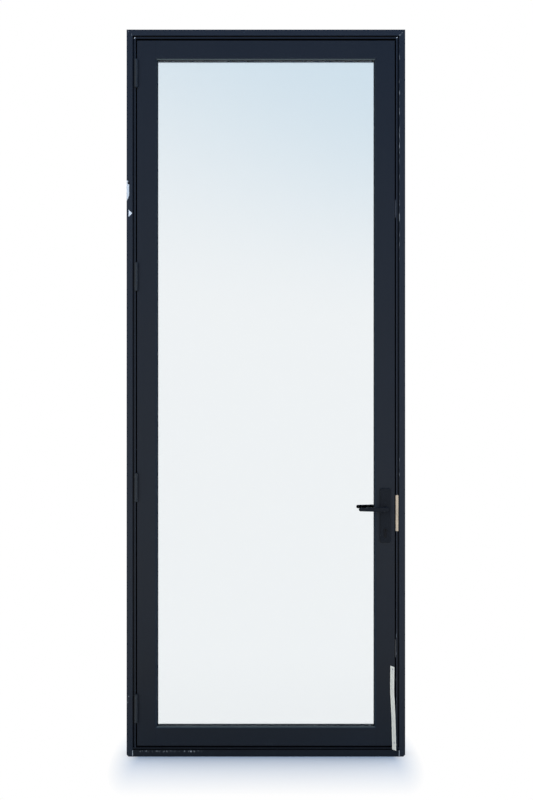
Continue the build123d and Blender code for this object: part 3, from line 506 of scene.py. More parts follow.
def chipped_patches(tree, place):
    """A long chip and a three-cornered one on the hinge jamb, and specks at the mitres and by a hinge."""
    right = -573.5
    long_chip = patch_mask(tree, place, (-590, -30, 2330), (right, -20, 2415), 3.0, 1.0)
    for height, slant in ((2352, -25), (2402, 25)):
        pivot = (right * MM, FRONT_FACE * MM, height * MM)
        values = {"Vector": place, "Center": pivot, "Axis": (0.0, 1.0, 0.0), "Angle": math.radians(slant)}
        slanted = add(tree, "ShaderNodeVectorRotate", values)
        cut = patch_mask(tree, slanted, (-700, -30, 2100), (right, -20, 2700), 3.0, 1.0)
        long_chip = add(tree, "ShaderNodeMath", {0: long_chip, 1: cut}, operation="MINIMUM")
    long_chip = add(tree, "ShaderNodeMath", {0: long_chip, 1: 0.8}, operation="MULTIPLY")
    # A square stood on its corner, cut off to the left, leaves the three-cornered chip.
    pivot = (-575.0 * MM, FRONT_FACE * MM, 2278 * MM)
    values = {"Vector": place, "Center": pivot, "Axis": (0.0, 1.0, 0.0), "Angle": math.radians(45)}
    diamond = add(tree, "ShaderNodeVectorRotate", values)
    corner = patch_mask(tree, diamond, (-585, -30, 2268), (-565, -20, 2288), 3.0, 1.0)
    right_of = patch_mask(tree, place, (-575.5, -30, 2250), (-558, -20, 2300), 0.0, 1.0)
    corner = add(tree, "ShaderNodeMath", {0: corner, 1: right_of}, operation="MINIMUM")
    specks = (
        (0.6, (-554, -30, 3011), (-548, -10, 3018)),
        (0.6, (547, -30, 3012), (552, -10, 3018)),
        (0.2, (-577, -30, 250), (-573, -20, 254)),
    )
    return brightest(tree, [long_chip, corner, patches_mask(tree, place, specks, 3.0, 1.0)])


def rubbed_edges(tree, place, from_mitre):
    """Broken pale lines where the coat is rubbed through along edges, and thin ones at the sill's ends."""
    drawn = add(tree, "ShaderNodeMapping", {"Vector": place, "Scale": (1.0, 1.0, 0.16)})
    values = {"Vector": drawn, "Scale": per_metre(6), "Detail": 5.0, "Roughness": 0.7}
    streaks = add(tree, "ShaderNodeTexNoise", values)
    broken = add(tree, "ShaderNodeMapRange", {"Value": streaks, "From Min": 0.54, "From Max": 0.62})
    # Each edge: two opposite corners, how ragged it is and how soft
    edges = (
        ((556.8, -30, 2080), (561, -26, 2985), 1.0, 1.5),
        ((556.8, -30, 1150), (561, -26, 1270), 1.0, 1.5),
        ((543.5, -30, 60), (547, -26, 780), 1.0, 1.5),
        ((-530, -30, 19), (-270, -26, 25), 5.0, 3.0),
        ((-586, -30, 22), (-579, -26, 60), 3.0, 2.0),
        ((-586, -30, 225), (-577, -26, 250), 3.0, 2.0),
    )
    scuffs = [patch_mask(tree, place, *edge) for edge in edges]
    corner = patch_mask(tree, place, (-584, -30, 3012), (584, -26, 3048), 0.0, 1.0)
    by_mitre = line_mask(tree, from_mitre, 5.0)
    scuffs.append(add(tree, "ShaderNodeMath", {0: corner, 1: by_mitre}, operation="MULTIPLY"))
    values = {0: brightest(tree, scuffs), 1: broken}
    rubbed = add(tree, "ShaderNodeMath", values, operation="MULTIPLY")
    left_end = patch_mask(tree, place, (-560.5, -30, 3), (-557.5, -26, 26), 2.0, 1.0)
    right_end = patch_mask(tree, place, (557.5, -30, 3), (560.5, -26, 26), 2.0, 1.0)
    worn = brightest(tree, [rubbed, left_end, right_end])
    return add(tree, "ShaderNodeMath", {0: worn, 1: 0.35}, operation="MULTIPLY")


def painted_hole_shade_and_speck(tree, place):
    """Painted shade: a dark disc where the old screw hole is, fading out 0.8 mm past its edge, and a smaller
    dark speck above it.
    """
    dark = []
    for x, z, radius in ((-575.2, 2405.0, 5.0), (-577.5, 2418.5, 2.8)):
        middle = (x * MM, FRONT_FACE * MM, z * MM)
        far = add(tree, "ShaderNodeVectorMath", {0: place, 1: middle}, operation="DISTANCE").outputs["Value"]
        values = {"Value": far, "From Min": radius * MM, "From Max": (radius + 0.8) * MM}
        dark.append(add(tree, "ShaderNodeMapRange", {**values, "To Min": 1.0, "To Max": 0.0}))
    return brightest(tree, dark)


def leaf_powder_coat(settings):
    """Powder coat on the leaf: a soft satin charcoal, with hairlines where rails meet stiles."""
    material, tree, shader, place, tone = powder_coat(
        "Leaf powder coat, satin charcoal", settings.leaf_colour, 0.44, 0.4
    )
    parts = add(tree, "ShaderNodeSeparateXYZ", {0: place}).outputs
    side = add(tree, "ShaderNodeMath", {0: parts["X"]}, operation="ABSOLUTE")
    away = add(tree, "ShaderNodeMath", {0: side, 1: STILE_INNER * MM}, operation="SUBTRACT")
    tone = layered(tree, tone, [(line_mask(tree, away, 1.0), DARK_GRIME_AND_SHADE)])
    tree.links.new(tone, shader.inputs["Base Color"])
    return material


def bead_powder_coat(settings):
    """The same coat on the glazing beads, gone dull, with painted light: paler bevels, and pale lines of
    painted reflection on the level ones.
    """
    material, tree, shader, place, tone = powder_coat(
        "Bead powder coat, dull charcoal", settings.leaf_colour, 0.6, 0.2
    )
    parts = add(tree, "ShaderNodeSeparateXYZ", {0: place}).outputs
    deep = add(tree, "ShaderNodeMath", {0: parts["Y"]}, operation="ABSOLUTE")
    bevel = add(tree, "ShaderNodeMath", {0: deep, 1: BEVEL_DEPTH * MM}, operation="GREATER_THAN")
    low = GLASS_MIDDLE[1] - SIGHT_HEIGHT / 2
    high = GLASS_MIDDLE[1] + SIGHT_HEIGHT / 2
    half = SIGHT_WIDTH / 2 + 2
    # Painted reflection: pale lines lie on the half of the level bevels that is next to the glass.
    lines = (
        (1.0, (-half, -40, low - 4.5), (half, 40, low)),
        (1.0, (-half, -40, high), (half, 40, high + 4.5)),
    )
    painted_reflection_lines = patches_mask(tree, place, lines, 1.5, 1.5)
    painted_reflection_lines = add(tree, "ShaderNodeMath", {0: painted_reflection_lines, 1: bevel}, operation="MULTIPLY")
    # Painted light: bevels paler than the flat face, and painted reflection lines on the level ones
    tone = layered(tree, tone, [(bevel, linear("#20272E")), (painted_reflection_lines, linear("#4A504F"))])
    tree.links.new(tone, shader.inputs["Base Color"])
    return material


def mottled(name, colour, size, roughness, metallic=0.0, spread=0.12, gloss=0.5):
    """A plain solid finish: a slight mottle of a given size in millimetres, and a grain a twelfth of it."""
    material, tree, shader, place = new_finish(name)
    shades = [c * (1 - spread) for c in colour], [min(1.0, c * (1 + spread)) for c in colour]
    dullness = roughness - 0.06, roughness + 0.06
    # The grain is finer than a pixel: it softens what the surface mirrors, and shows from close by.
    tone = uneven(tree, shader, place, size, shades, dullness, size / 12, (0.4, 0.02))
    tree.links.new(tone, shader.inputs["Base Color"])
    shader.inputs["Metallic"].default_value = metallic
    shader.inputs["Specular IOR Level"].default_value = gloss
    return material


def float_glass(settings):
    """Clear float glass: what is behind it shows a little darker, under a faint sharp reflection."""
    material, tree, shader, place = new_finish("Float glass, clear")
    # The sheet is flat to a hair; its waves are a hand's width across.
    wave = add(tree, "ShaderNodeTexNoise", {"Vector": place, "Scale": per_metre(180), "Detail": 1.0})
    bump = add(tree, "ShaderNodeBump", {"Height": wave, "Strength": 0.05, "Distance": 0.02 * MM})
    tree.links.new(bump.outputs[0], shader.inputs["Normal"])
    shader.inputs["Base Color"].default_value = opaque(settings.tint)
    shader.inputs["Roughness"].default_value = 0.0
    shader.inputs["IOR"].default_value = 1.52
    shader.inputs["Transmission Weight"].default_value = 1.0
    return material


# Pieces made by geometry nodes


def new_rule(name, sockets):
    """A geometry tree with a mesh output and named inputs: (name, kind, default)."""
    tree = bpy.data.node_groups.new(name, "GeometryNodeTree")
    for label, kind, default in sockets:
        socket = tree.interface.new_socket(label, in_out="INPUT", socket_type=kind)
        if default is not None:
            socket.default_value = default
    tree.interface.new_socket("Geometry", in_out="OUTPUT", socket_type="NodeSocketGeometry")
    return tree, add(tree, "NodeGroupInput").outputs


def rounded_rectangle(tree, width, height, radius, steps):
    """A rectangular curve, each corner turned on a radius in a number of steps."""
    sides = {"Width": width, "Height": height}
    curve = add(tree, "GeometryNodeCurvePrimitiveQuadrilateral", sides)
    corners = {"Curve": curve, "Count": steps, "Radius": radius, "Limit Radius": True}
    return add(tree, "GeometryNodeFilletCurve", corners, mode="POLY")


def finish_rule(tree, geometry, finish):
    """End a tree in Realize Instances and Set Material."""
    whole = add(tree, "GeometryNodeRealizeInstances", {"Geometry": geometry})
    painted = add(tree, "GeometryNodeSetMaterial", {"Geometry": whole, "Material": finish})
    add(tree, "NodeGroupOutput", {"Geometry": painted})


def finish_upright(tree, geometry, given):
    """End a tree whose shape was drawn on the floor: stand the shape up and move it to its middle."""
    values = {"Geometry": geometry, "Rotation": (math.pi / 2, 0.0, 0.0), "Translation": given["Middle"]}
    upright = add(tree, "GeometryNodeTransform", values)
    finish_rule(tree, upright, given["Finish"])


def made_by(name, source, tree, values):
    """Run a tree on a source object and give the result as a plain mesh object at the origin."""
    modifier = source.modifiers.new(tree.name, "NODES")
    modifier.node_group = tree
    for item in tree.interface.items_tree:
        if item.in_out == "INPUT" and item.name in values:
            modifier[item.identifier] = values[item.name]
    bpy.context.view_layer.update()
    graph = bpy.context.evaluated_depsgraph_get()
    mesh = bpy.data.meshes.new_from_object(source.evaluated_get(graph))
    source.modifiers.remove(modifier)
    bpy.data.objects.remove(source)
    mesh.name = name
    piece = bpy.data.objects.new(name, mesh)
    bpy.context.scene.collection.objects.link(piece)
    if not mesh.polygons:
        raise RuntimeError(f"{name} came out empty")
    return piece


def loose_points(name, places, directions):
    """An object of loose points, each with the direction that it faces."""
    mesh = bpy.data.meshes.new(name)
    mesh.from_pydata([[c * MM for c in place] for place in places], [], [])
    facing = mesh.attributes.new("facing", "FLOAT_VECTOR", "POINT")
    for value, direction in zip(facing.data, directions):
        value.vector = direction
    source = bpy.data.objects.new(name, mesh)
    bpy.context.scene.collection.objects.link(source)
    return source


def screw_rule():
    """Countersunk screws with a cross recess, one on each point, facing as the point does."""
    tree, given = new_rule(
        "Countersunk screws",
        (
            ("Points", "NodeSocketGeometry", None),
            ("Head radius", "NodeSocketFloat", 0.004),
            ("Head height", "NodeSocketFloat", 0.002),
            ("Shank radius", "NodeSocketFloat", 0.002),
            ("Length", "NodeSocketFloat", 0.012),
            ("Recess width", "NodeSocketFloat", 0.001),
            ("Recess depth", "NodeSocketFloat", 0.001),
            ("Finish", "NodeSocketMaterial", None),
        ),
    )
    radii = {"Radius Top": given["Head radius"], "Radius Bottom": given["Shank radius"]}
    head = add(tree, "GeometryNodeMeshCone", {"Vertices": 28, **radii, "Depth": given["Head height"]})
    sunk = add(tree, "ShaderNodeMath", {0: given["Head height"], 1: -1.0}, operation="MULTIPLY")
    drop = add(tree, "ShaderNodeCombineXYZ", {"Z": sunk})
    head = add(tree, "GeometryNodeTransform", {"Geometry": head, "Translation": drop})
    # Each arm of the cross is cut by a box that stands as far out of the head as it goes in.
    arm_length = add(tree, "ShaderNodeMath", {0: given["Head radius"], 1: 1.15}, operation="MULTIPLY")
    deep = add(tree, "ShaderNodeMath", {0: given["Recess depth"], 1: 2.0}, operation="MULTIPLY")
    size = add(tree, "ShaderNodeCombineXYZ", {"X": arm_length, "Y": given["Recess width"], "Z": deep})
    arm = add(tree, "GeometryNodeMeshCube", {"Size": size})
    values = {"Geometry": arm, "Rotation": (0.0, 0.0, math.pi / 2)}
    other_arm = add(tree, "GeometryNodeTransform", values)
    cut = head
    for tool in (arm, other_arm):
        cut = add(tree, "GeometryNodeMeshBoolean", {"Mesh 1": cut, "Mesh 2": tool}, operation="DIFFERENCE")
    both = {0: given["Length"], 1: given["Head height"]}
    shank_length = add(tree, "ShaderNodeMath", both, operation="SUBTRACT")
    values = {"Vertices": 20, "Radius": given["Shank radius"], "Depth": shank_length}
    shank = add(tree, "GeometryNodeMeshCylinder", values)
    middle = add(tree, "ShaderNodeMath", both, operation="ADD")
    middle = add(tree, "ShaderNodeMath", {0: middle, 1: -0.5}, operation="MULTIPLY")
    down = add(tree, "ShaderNodeCombineXYZ", {"Z": middle})
    shank = add(tree, "GeometryNodeTransform", {"Geometry": shank, "Translation": down})
    screw = add(tree, "GeometryNodeJoinGeometry")
    tree.links.new(cut.outputs[0], screw.inputs[0])
    tree.links.new(shank.outputs[0], screw.inputs[0])
    facing = add(tree, "GeometryNodeInputNamedAttribute", {"Name": "facing"}, data_type="FLOAT_VECTOR")
    turn = add(tree, "FunctionNodeAlignRotationToVector", {"Vector": facing}, axis="Z")
    values = {"Points": given["Points"], "Instance": screw, "Rotation": turn}
    placed = add(tree, "GeometryNodeInstanceOnPoints", values)
    finish_rule(tree, placed, given["Finish"])
    return tree


def gasket_rule():
    """A flat gasket swept round the glass, turning each corner on a small radius."""
    tree, given = new_rule(
        "Glazing gasket",
        (
            ("Start", "NodeSocketGeometry", None),
            ("Loop width", "NodeSocketFloat", 1.0),
            ("Loop height", "NodeSocketFloat", 1.0),
            ("Corner radius", "NodeSocketFloat", 0.006),
            ("Gasket width", "NodeSocketFloat", 0.011),
            ("Gasket thickness", "NodeSocketFloat", 0.003),
            ("Lip radius", "NodeSocketFloat", 0.0008),
            ("Middle", "NodeSocketVector", None),
            ("Finish", "NodeSocketMaterial", None),
        ),
    )
    loop = given["Loop width"], given["Loop height"]
    path = rounded_rectangle(tree, *loop, given["Corner radius"], 8)
    path = add(tree, "GeometryNodeSetCurveNormal", {"Curve": path}, mode="Z_UP")
    section = given["Gasket width"], given["Gasket thickness"]
    outline = rounded_rectangle(tree, *section, given["Lip radius"], 4)
    swept = add(tree, "GeometryNodeCurveToMesh", {"Curve": path, "Profile Curve": outline})
    finish_upright(tree, swept, given)
    return tree


def strip_rule():
    """A thin strip swept along a bowed line, with rounded edges, a groove and slanted ends."""
    tree, given = new_rule(
        "Bowed strip",
        (
            ("Line", "NodeSocketGeometry", None),
            ("Width", "NodeSocketFloat", 0.02),
            ("Thickness", "NodeSocketFloat", 0.003),
            ("Edge radius", "NodeSocketFloat", 0.001),
            ("Groove width", "NodeSocketFloat", 0.003),
            ("Groove depth", "NodeSocketFloat", 0.0006),
            ("Slant", "NodeSocketFloat", 0.006),
            ("Middle", "NodeSocketVector", None),
            ("Finish", "NodeSocketMaterial", None),
        ),
    )
    line = add(tree, "GeometryNodeMeshToCurve", {0: given["Line"]})
    line = add(tree, "GeometryNodeCurveSplineType", {"Curve": line}, spline_type="CATMULL_ROM")
    line = add(tree, "GeometryNodeResampleCurve", {"Curve": line, "Count": 60})
    line = add(tree, "GeometryNodeSetCurveNormal", {"Curve": line}, mode="Z_UP")
    outline = rounded_rectangle(tree, given["Width"], given["Thickness"], given["Edge radius"], 5)
    # Each point's place across the strip is kept, and slides it along the strip at the ends' slant.
    across = add(tree, "GeometryNodeInputPosition")
    kept = add(tree, "GeometryNodeCaptureAttribute")
    kept.capture_items.new("VECTOR", "Across")
    tree.links.new(outline.outputs[0], kept.inputs[0])
    tree.links.new(across.outputs[0], kept.inputs[1])
    body = add(tree, "GeometryNodeCurveToMesh", {"Curve": line, "Profile Curve": kept, "Fill Caps": True})
    sideways = add(tree, "ShaderNodeSeparateXYZ", {0: kept.outputs[1]})
    share = add(tree, "ShaderNodeMath", {0: sideways.outputs["X"], 1: given["Width"]}, operation="DIVIDE")
    share = add(tree, "ShaderNodeMath", {0: share, 1: given["Slant"]}, operation="MULTIPLY")
    slide = add(tree, "ShaderNodeCombineXYZ", {"Y": share})
    body = add(tree, "GeometryNodeSetPosition", {"Geometry": body, "Offset": slide})
    # The groove's cutter stands as far out of the face as it goes in.
    depth = add(tree, "ShaderNodeMath", {0: given["Groove depth"], 1: 2.0}, operation="MULTIPLY")
    sides = {"Width": given["Groove width"], "Height": depth}
    groove = add(tree, "GeometryNodeCurvePrimitiveQuadrilateral", sides)
    values = {"Curve": line, "Profile Curve": groove, "Fill Caps": True}
    groove = add(tree, "GeometryNodeCurveToMesh", values)
    high = add(tree, "ShaderNodeMath", {0: given["Thickness"], 1: 0.5}, operation="MULTIPLY")
    lift = add(tree, "ShaderNodeCombineXYZ", {"Z": high})
    groove = add(tree, "GeometryNodeTransform", {"Geometry": groove, "Translation": lift})
    cut = add(tree, "GeometryNodeMeshBoolean", {"Mesh 1": body, "Mesh 2": groove}, operation="DIFFERENCE")
    finish_upright(tree, cut, given)
    return tree


# Operators: one for each piece or group of like pieces, and one for the stage


class DOOR_OT_paint_metalwork(bpy.types.Operator):
    """Paint the frame, the leaf and the glazing beads"""

    bl_idname = "door.paint_metalwork"
    bl_label = "Paint the metalwork"

    def execute(self, context):
        settings = context.scene.door_paint
        dress("frame_paint", frame_powder_coat(settings))
        dress("leaf_paint", leaf_powder_coat(settings))
        dress("bead_paint", bead_powder_coat(settings))
        return {"FINISHED"}


class DOOR_OT_finish_glazing(bpy.types.Operator):
    """Give the panes, spacers, seals and blocks their finishes"""

    bl_idname = "door.finish_glazing"
    bl_label = "Finish the glazing"

    def execute(self, context):
        settings = context.scene.door_glass
        dress("glass", float_glass(settings))
        # Roll-formed aluminium: a pale matt grey line at the edge of the glass.
        spacer = mottled("Spacer bar, matt aluminium", linear("#C9CBCD"), 30, 0.45, metallic=1.0)
        dress("spacer_aluminium", spacer)
        # Gunned and smoothed by hand: a dull black with a soft unevenness.
        sealant = mottled("Edge sealant, black polysulphide", linear("#15171A"), 20, 0.6)
        dress("edge_sealant", sealant)
        # Moulded: an even mid grey with a faint sheen.
        block = mottled("Setting block, grey polypropylene", linear("#6F7479"), 25, 0.5)
        dress("setting_plastic", block)
        return {"FINISHED"}


class DOOR_OT_fit_gaskets(bpy.types.Operator):
    """Sweep the gaskets round both faces of the glass"""

    bl_idname = "door.fit_gaskets"
    bl_label = "Fit the gaskets"

    def execute(self, context):
        settings = context.scene.door_glass
        # Extruded rubber: a matt black, a little greyed by age in patches.
        rubber = mottled("Gasket, black EPDM rubber", linear("#121416"), 8, 0.62, spread=0.2)
        dress("seal_rubber", rubber)
        rule = gasket_rule()
        inset = settings.gasket_width - 2 * settings.gasket_show
        for name, node in (
            ("glazing_gasket_loop_front", "glazing_gaskets_front"),
            ("glazing_gasket_loop_back", "glazing_gaskets_back"),
        ):
            low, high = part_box(node)
            values = {
                "Loop width": SIGHT_WIDTH * MM + inset,
                "Loop height": SIGHT_HEIGHT * MM + inset,
                "Gasket width": settings.gasket_width,
                "Gasket thickness": settings.gasket_thickness,
                "Middle": (GLASS_MIDDLE[0], (low.y + high.y) / 2, GLASS_MIDDLE[1] * MM),
                "Finish": rubber,
            }
            source = loose_points(name + "_start", [(0, 0, 0)], [(0, 0, 1)])
            piece = made_by(name, source, rule, values)
            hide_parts(node)
            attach(piece, "leaf")
        return {"FINISHED"}


class DOOR_OT_finish_hardware(bpy.types.Operator):
    """Give the hinges, levers, plates, lock and cylinder their finishes"""

    bl_idname = "door.finish_hardware"
    bl_label = "Finish the hardware"

    def execute(self, context):
        settings = context.scene.door_hardware
        # Rolled knuckles with a thin coat: a shade lighter than the frame, with a soft line of light.
        dark_grey = linear("#25282A")
        hinge = mottled("Hinge steel, black powder coat", dark_grey, 40, 0.42, spread=0.15, gloss=0.33)
        dress("hinge_metal", hinge)
        # Cast, tumbled and coated: a smooth dull black that hardly mirrors.
        handle = mottled("Handle, satin black zinc casting", settings.handle_colour, 60, 0.5, gloss=0.1)
        dress("handle_metal", handle)
        # Pressed and plated: a cloudy silver grey.
        plated = mottled("Lock parts, zinc plated steel", linear("#A7A9A6"), 14, 0.38, metallic=1.0)
        dress("zinc_steel", plated)
        # Machined and plated: a smoky metal, no lighter than the handle plate round it.
        cylinder = mottled("Cylinder, black nickel plated brass", linear("#2B2C2E"), 10, 0.34, metallic=1.0)
        dress("cylinder_brass", cylinder)
        return {"FINISHED"}


class DOOR_OT_fit_strike(bpy.types.Operator):
    """Fit the strike plate with a narrow lip, which leaves most of the groove open"""

    bl_idname = "door.fit_strike"
    bl_label = "Fit the strike plate"

    def execute(self, context):
        settings = context.scene.door_hardware
        # Bent from plated sheet: an even warm beige with a soft sheen.
        finish = mottled("Strike plate, dull champagne plating", settings.strike_colour, 22, 0.5, spread=0.06)
        dress("strike_finish", finish)
        piece = merged_copy("strike_with_narrow_lip", "strike_plate")
        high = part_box("strike_plate")[1]
        # Only the lip's free edge stands at the far right.
        for vertex in piece.data.vertices:
            if vertex.co.x > high.x - 1.0 * MM:
                vertex.co.x -= settings.lip_trim
        piece.data.materials.clear()
        piece.data.materials.append(finish)
        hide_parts("strike_plate")
        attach(piece, "frame")
        return {"FINISHED"}


def merged_copy(name, node):
    """A new object with a copy of a CAD node's mesh, its loose triangles joined into a closed shell."""
    mesh = frame["nodes"][node].data.copy()
    mesh.name = name
    shell = bmesh.new()
    shell.from_mesh(mesh)
    bmesh.ops.remove_doubles(shell, verts=shell.verts, dist=0.001 * MM)
    shell.to_mesh(mesh)
    shell.free()
    piece = bpy.data.objects.new(name, mesh)
    bpy.context.scene.collection.objects.link(piece)
    return piece


class DOOR_OT_finish_inner_parts(bpy.types.Operator):
    """Give the thermal strips, cleats and inner screws their finishes"""

    bl_idname = "door.finish_inner_parts"
    bl_label = "Finish the inner parts"

    def execute(self, context):
        # Extruded with glass fibre: a matt black with a rough grain.
        strip = mottled("Thermal strip, glass-filled polyamide", linear("#1B1B1C"), 12, 0.6)
        dress("polyamide", strip)
        # Sawn from bare extrusion: a pale metal, slightly cloudy.
        cleat = mottled("Cleats, mill finish aluminium", linear("#C5C6C8"), 30, 0.4, metallic=1.0)
        dress("cleat_aluminium", cleat)
        # Plated in the barrel: a dark grey metal with small dull patches.
        screws = mottled("Screws, dark zinc plated steel", linear("#6E6F71"), 6, 0.35, metallic=1.0)
        dress("hardware_screws", screws)
        return {"FINISHED"}


class DOOR_OT_fit_screws(bpy.types.Operator):
    """Replace the plain screws by screws with a cross recess"""

    bl_idname = "door.fit_screws"
    bl_label = "Fit the screws"

    def execute(self, context):
        settings = context.scene.door_hardware
        rule = screw_rule()
        dark = bpy.data.materials["Screws, dark zinc plated steel"]
        # The same plating without the dark pass: two small bright dots on the strip.
        bright = mottled("Screws, bright zinc plated steel", linear("#B9BBBD"), 6, 0.4, metallic=1.0)
        for name, node, body, places, direction, head, height, shank, length in screw_kinds():
            values = {
                "Head radius": head * MM,
                "Head height": height * MM,
                "Shank radius": shank * MM,
                "Length": length * MM,
                "Recess width": head * settings.recess_width * MM,
                "Recess depth": height * 0.6 * MM,
                "Finish": bright if node == "edge_strip_screws" else dark,
            }
            source = loose_points(name + "_places", places, [direction] * len(places))
            piece = made_by(name, source, rule, values)
            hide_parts(node)
            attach(piece, body)
        return {"FINISHED"}


def screw_kinds():
    """Each kind: piece, CAD node, body, places, direction, head radius and height, shank radius, length."""
    # The faces that the screws stand in: a hinge's two halves and the lock jamb
    frame_half, leaf_half, jamb = -543.4, -542.6, 544.0
    # Each half of a hinge has four screws, in front and behind by turns.
    step = HINGE_LENGTH / 4
    rows = [(z - HINGE_LENGTH / 2 + step * (row + 0.5), row % 2) for z in HINGE_HEIGHTS for row in range(4)]
    on_frame = [(frame_half, FRONT_FACE + (25.0, 40.0)[odd], z) for z, odd in rows]
    on_leaf = [(leaf_half, FRONT_FACE + (10.0, 42.0)[odd], z) for z, odd in rows]
    keeps = [(jamb, 0.0, z) for z in (954.0, 1088.0)]
    keeps += [(jamb, 0.0, z + side * KEEP_SCREW_REACH) for z in BOLT_HEIGHTS for side in (-1, 1)]
    plate_heights = (LEVER_HEIGHT - PLATE_SCREW_DROP, LEVER_HEIGHT + PLATE_SCREW_RISE)
    plates = [(LEVER_X, BACK_FACE + PLATE_THICKNESS, z) for z in plate_heights]
    strip = [(530.9, FRONT_FACE - 3.5, 366.0), (538.2, FRONT_FACE - 3.5, 58.0)]
    right, left, out, back = (1, 0, 0), (-1, 0, 0), (0, -1, 0), (0, 1, 0)
    return (
        ("hinge_screws_frame", "hinge_frame_screws", "frame", on_frame, right, 5.2, 2.4, 2.8, 14.0),
        ("hinge_screws_leaf", "hinge_leaf_screws", "leaf", on_leaf, left, 5.2, 2.4, 2.8, 14.0),
        ("strike_and_keep_screws", "keep_screws", "frame", keeps, left, 4.4, 1.8, 2.4, 12.0),
        ("handle_screws", "handle_plate_screws", "leaf", plates, back, 4.6, 2.2, 2.5, 70.5),
        ("strip_screws", "edge_strip_screws", "leaf", strip, out, 3.2, 1.5, 1.8, 12.0),
    )


class DOOR_OT_fit_edge_strip(bpy.types.Operator):
    """Sweep the bowed strip on the lower part of the lock stile"""

    bl_idname = "door.fit_edge_strip"
    bl_label = "Fit the bowed strip"

    def execute(self, context):
        settings = context.scene.door_strip
        # The strip's middle line, from its top down: X and height
        line = ((530.1, 378.5), (529.3, 277.0), (531.7, 224.0), (534.9, 149.0), (537.7, 28.0))
        mesh = bpy.data.meshes.new("strip_line")
        edges = [(i, i + 1) for i in range(len(line) - 1)]
        mesh.from_pydata([(x * MM, z * MM, 0.0) for x, z in line], edges, [])
        source = bpy.data.objects.new("strip_line", mesh)
        context.scene.collection.objects.link(source)
        low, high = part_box("edge_strip")
        # Extruded: an even off-white with a faint sheen, a little yellowed.
        finish = mottled("Bowed strip, off-white PVC", settings.colour, 26, 0.5, spread=0.05)
        values = {
            "Width": settings.width,
            "Thickness": settings.thickness,
            "Edge radius": 1.2 * MM,
            "Groove width": 3.0 * MM,
            "Groove depth": 0.6 * MM,
            "Slant": 6.0 * MM,
            "Middle": (0.0, (low.y + high.y) / 2, 0.0),
            "Finish": finish,
        }
        piece = made_by("bowed_strip", source, strip_rule(), values)
        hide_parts("edge_strip")
        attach(piece, "leaf")
        return {"FINISHED"}


class DOOR_OT_build_stage(bpy.types.Operator):
    """Build the floor, the lamps, the surround and the camera"""

    bl_idname = "door.build_stage"
    bl_label = "Build the stage"

    def execute(self, context):
        settings = context.scene.door_stage
        lay_floor(context, settings)
        light_world(context, settings)
        # Each lamp: its place, what it points at, its width, its height and its power
        hang_lamp(context, "Overhead softbox", (0.0, 0.7, 5.4), (0.0, 0.1, 0.0), 3.6, 1.6, 130.0)
        hang_lamp(context, "Front softbox", (-3.9, -6.4, 2.4), (0.0, 0.0, 1.5), 2.4, 3.2, 250.0)
        hang_lamp(context, "Side softbox", (3.9, -6.4, 2.4), (0.0, 0.0, 1.5), 2.4, 3.2, 180.0)
        data = bpy.data.cameras.new("Camera")
        data.lens = settings.lens
        data.clip_end = 200.0
        camera = bpy.data.objects.new("Camera", data)
        camera.location = (settings.camera_side, -settings.camera_distance, settings.camera_height)
        camera.rotation_euler = (math.pi / 2, 0.0, 0.0)
        context.scene.collection.objects.link(camera)
        context.scene.camera = camera
        context.scene.view_settings.view_transform = "Standard"
        return {"FINISHED"}


def lay_floor(context, settings):
    """A plain pale floor just under the sill, which keeps the door's shadow, with painted shade round the
    door where it is not blended to white.
    """
    reach = 30.0
    level = -0.2 * MM
    mesh = bpy.data.meshes.new("floor")
    corners = [(x * reach, y * reach, level) for x, y in ((-1, -1), (1, -1), (1, 1), (-1, 1))]
    mesh.from_pydata(corners, [], [(0, 1, 2, 3)])
    floor = bpy.data.objects.new("floor", mesh)
    context.scene.collection.objects.link(floor)
    # Rolled in sheets: even and matt, so it takes the door's shadow and mirrors nothing.
    material = bpy.data.materials.new("Floor, pale matt vinyl")
    material.use_nodes = True
    tree = material.node_tree
    tree.nodes.clear()
    place = add(tree, "ShaderNodeTexCoord").outputs["Object"]
    # How far each place on the floor lies past the door's ends and past the leaf's faces
    corner = (CAD_HIGH.x - SHADOW_END_INSET * MM, -FRONT_FACE * MM, 1.0)
    away = add(tree, "ShaderNodeVectorMath", {0: place}, operation="ABSOLUTE")
    for operation, value in (
        ("SUBTRACT", corner),
        ("MAXIMUM", (0.0, 0.0, 0.0)),
        ("MULTIPLY", (SHADOW_END_RATE, 1.0, 1.0)),
    ):
        away = add(tree, "ShaderNodeVectorMath", {0: away, 1: value}, operation=operation)
    distance = add(tree, "ShaderNodeVectorMath", {0: away}, operation="LENGTH").outputs["Value"]
    far = add(tree, "ShaderNodeMapRange", {"Value": distance, "From Max": settings.floor_far})
    far = add(tree, "ShaderNodeMath", {0: far, 1: SHADOW_CURVE}, operation="POWER")
    # Painted shade: near the door the camera sees the floor's own lit blue-grey with its real shadow, farther
    # off plain white
    seen = seen_by_eye(tree)
    share = add(tree, "ShaderNodeMath", {0: seen, 1: far}, operation="MULTIPLY")
    matt = add(tree, "ShaderNodeBsdfDiffuse", {"Color": opaque(settings.floor_colour)})
    # What glass lets through also counts as glossy, so it is taken off again.
    path = add(tree, "ShaderNodeLightPath").outputs
    values = {0: path["Is Glossy Ray"], 1: path["Is Transmission Ray"]}
    mirrored = add(tree, "ShaderNodeMath", values, operation="SUBTRACT", use_clamp=True)
    # Painted shade: mirrored in paint, the floor glows dim within 0.2 m of the door and pale from 2.6 m on.
    values = {"Value": distance, "From Min": 0.2, "From Max": 2.6, "To Min": 0.1, "To Max": 0.7}
    painted_mirrored_shade = add(tree, "ShaderNodeMapRange", values, interpolation_type="SMOOTHSTEP")
    glow = add(tree, "ShaderNodeMix", {"Factor": mirrored, "A": 1.0, "B": painted_mirrored_shade})
    white = add(tree, "ShaderNodeEmission", {"Color": (1.0, 1.0, 1.0, 1.0), "Strength": glow})
    both = add(tree, "ShaderNodeMixShader", {0: share, 1: matt, 2: white})
    add(tree, "ShaderNodeOutputMaterial", {"Surface": both})
    mesh.materials.append(material)


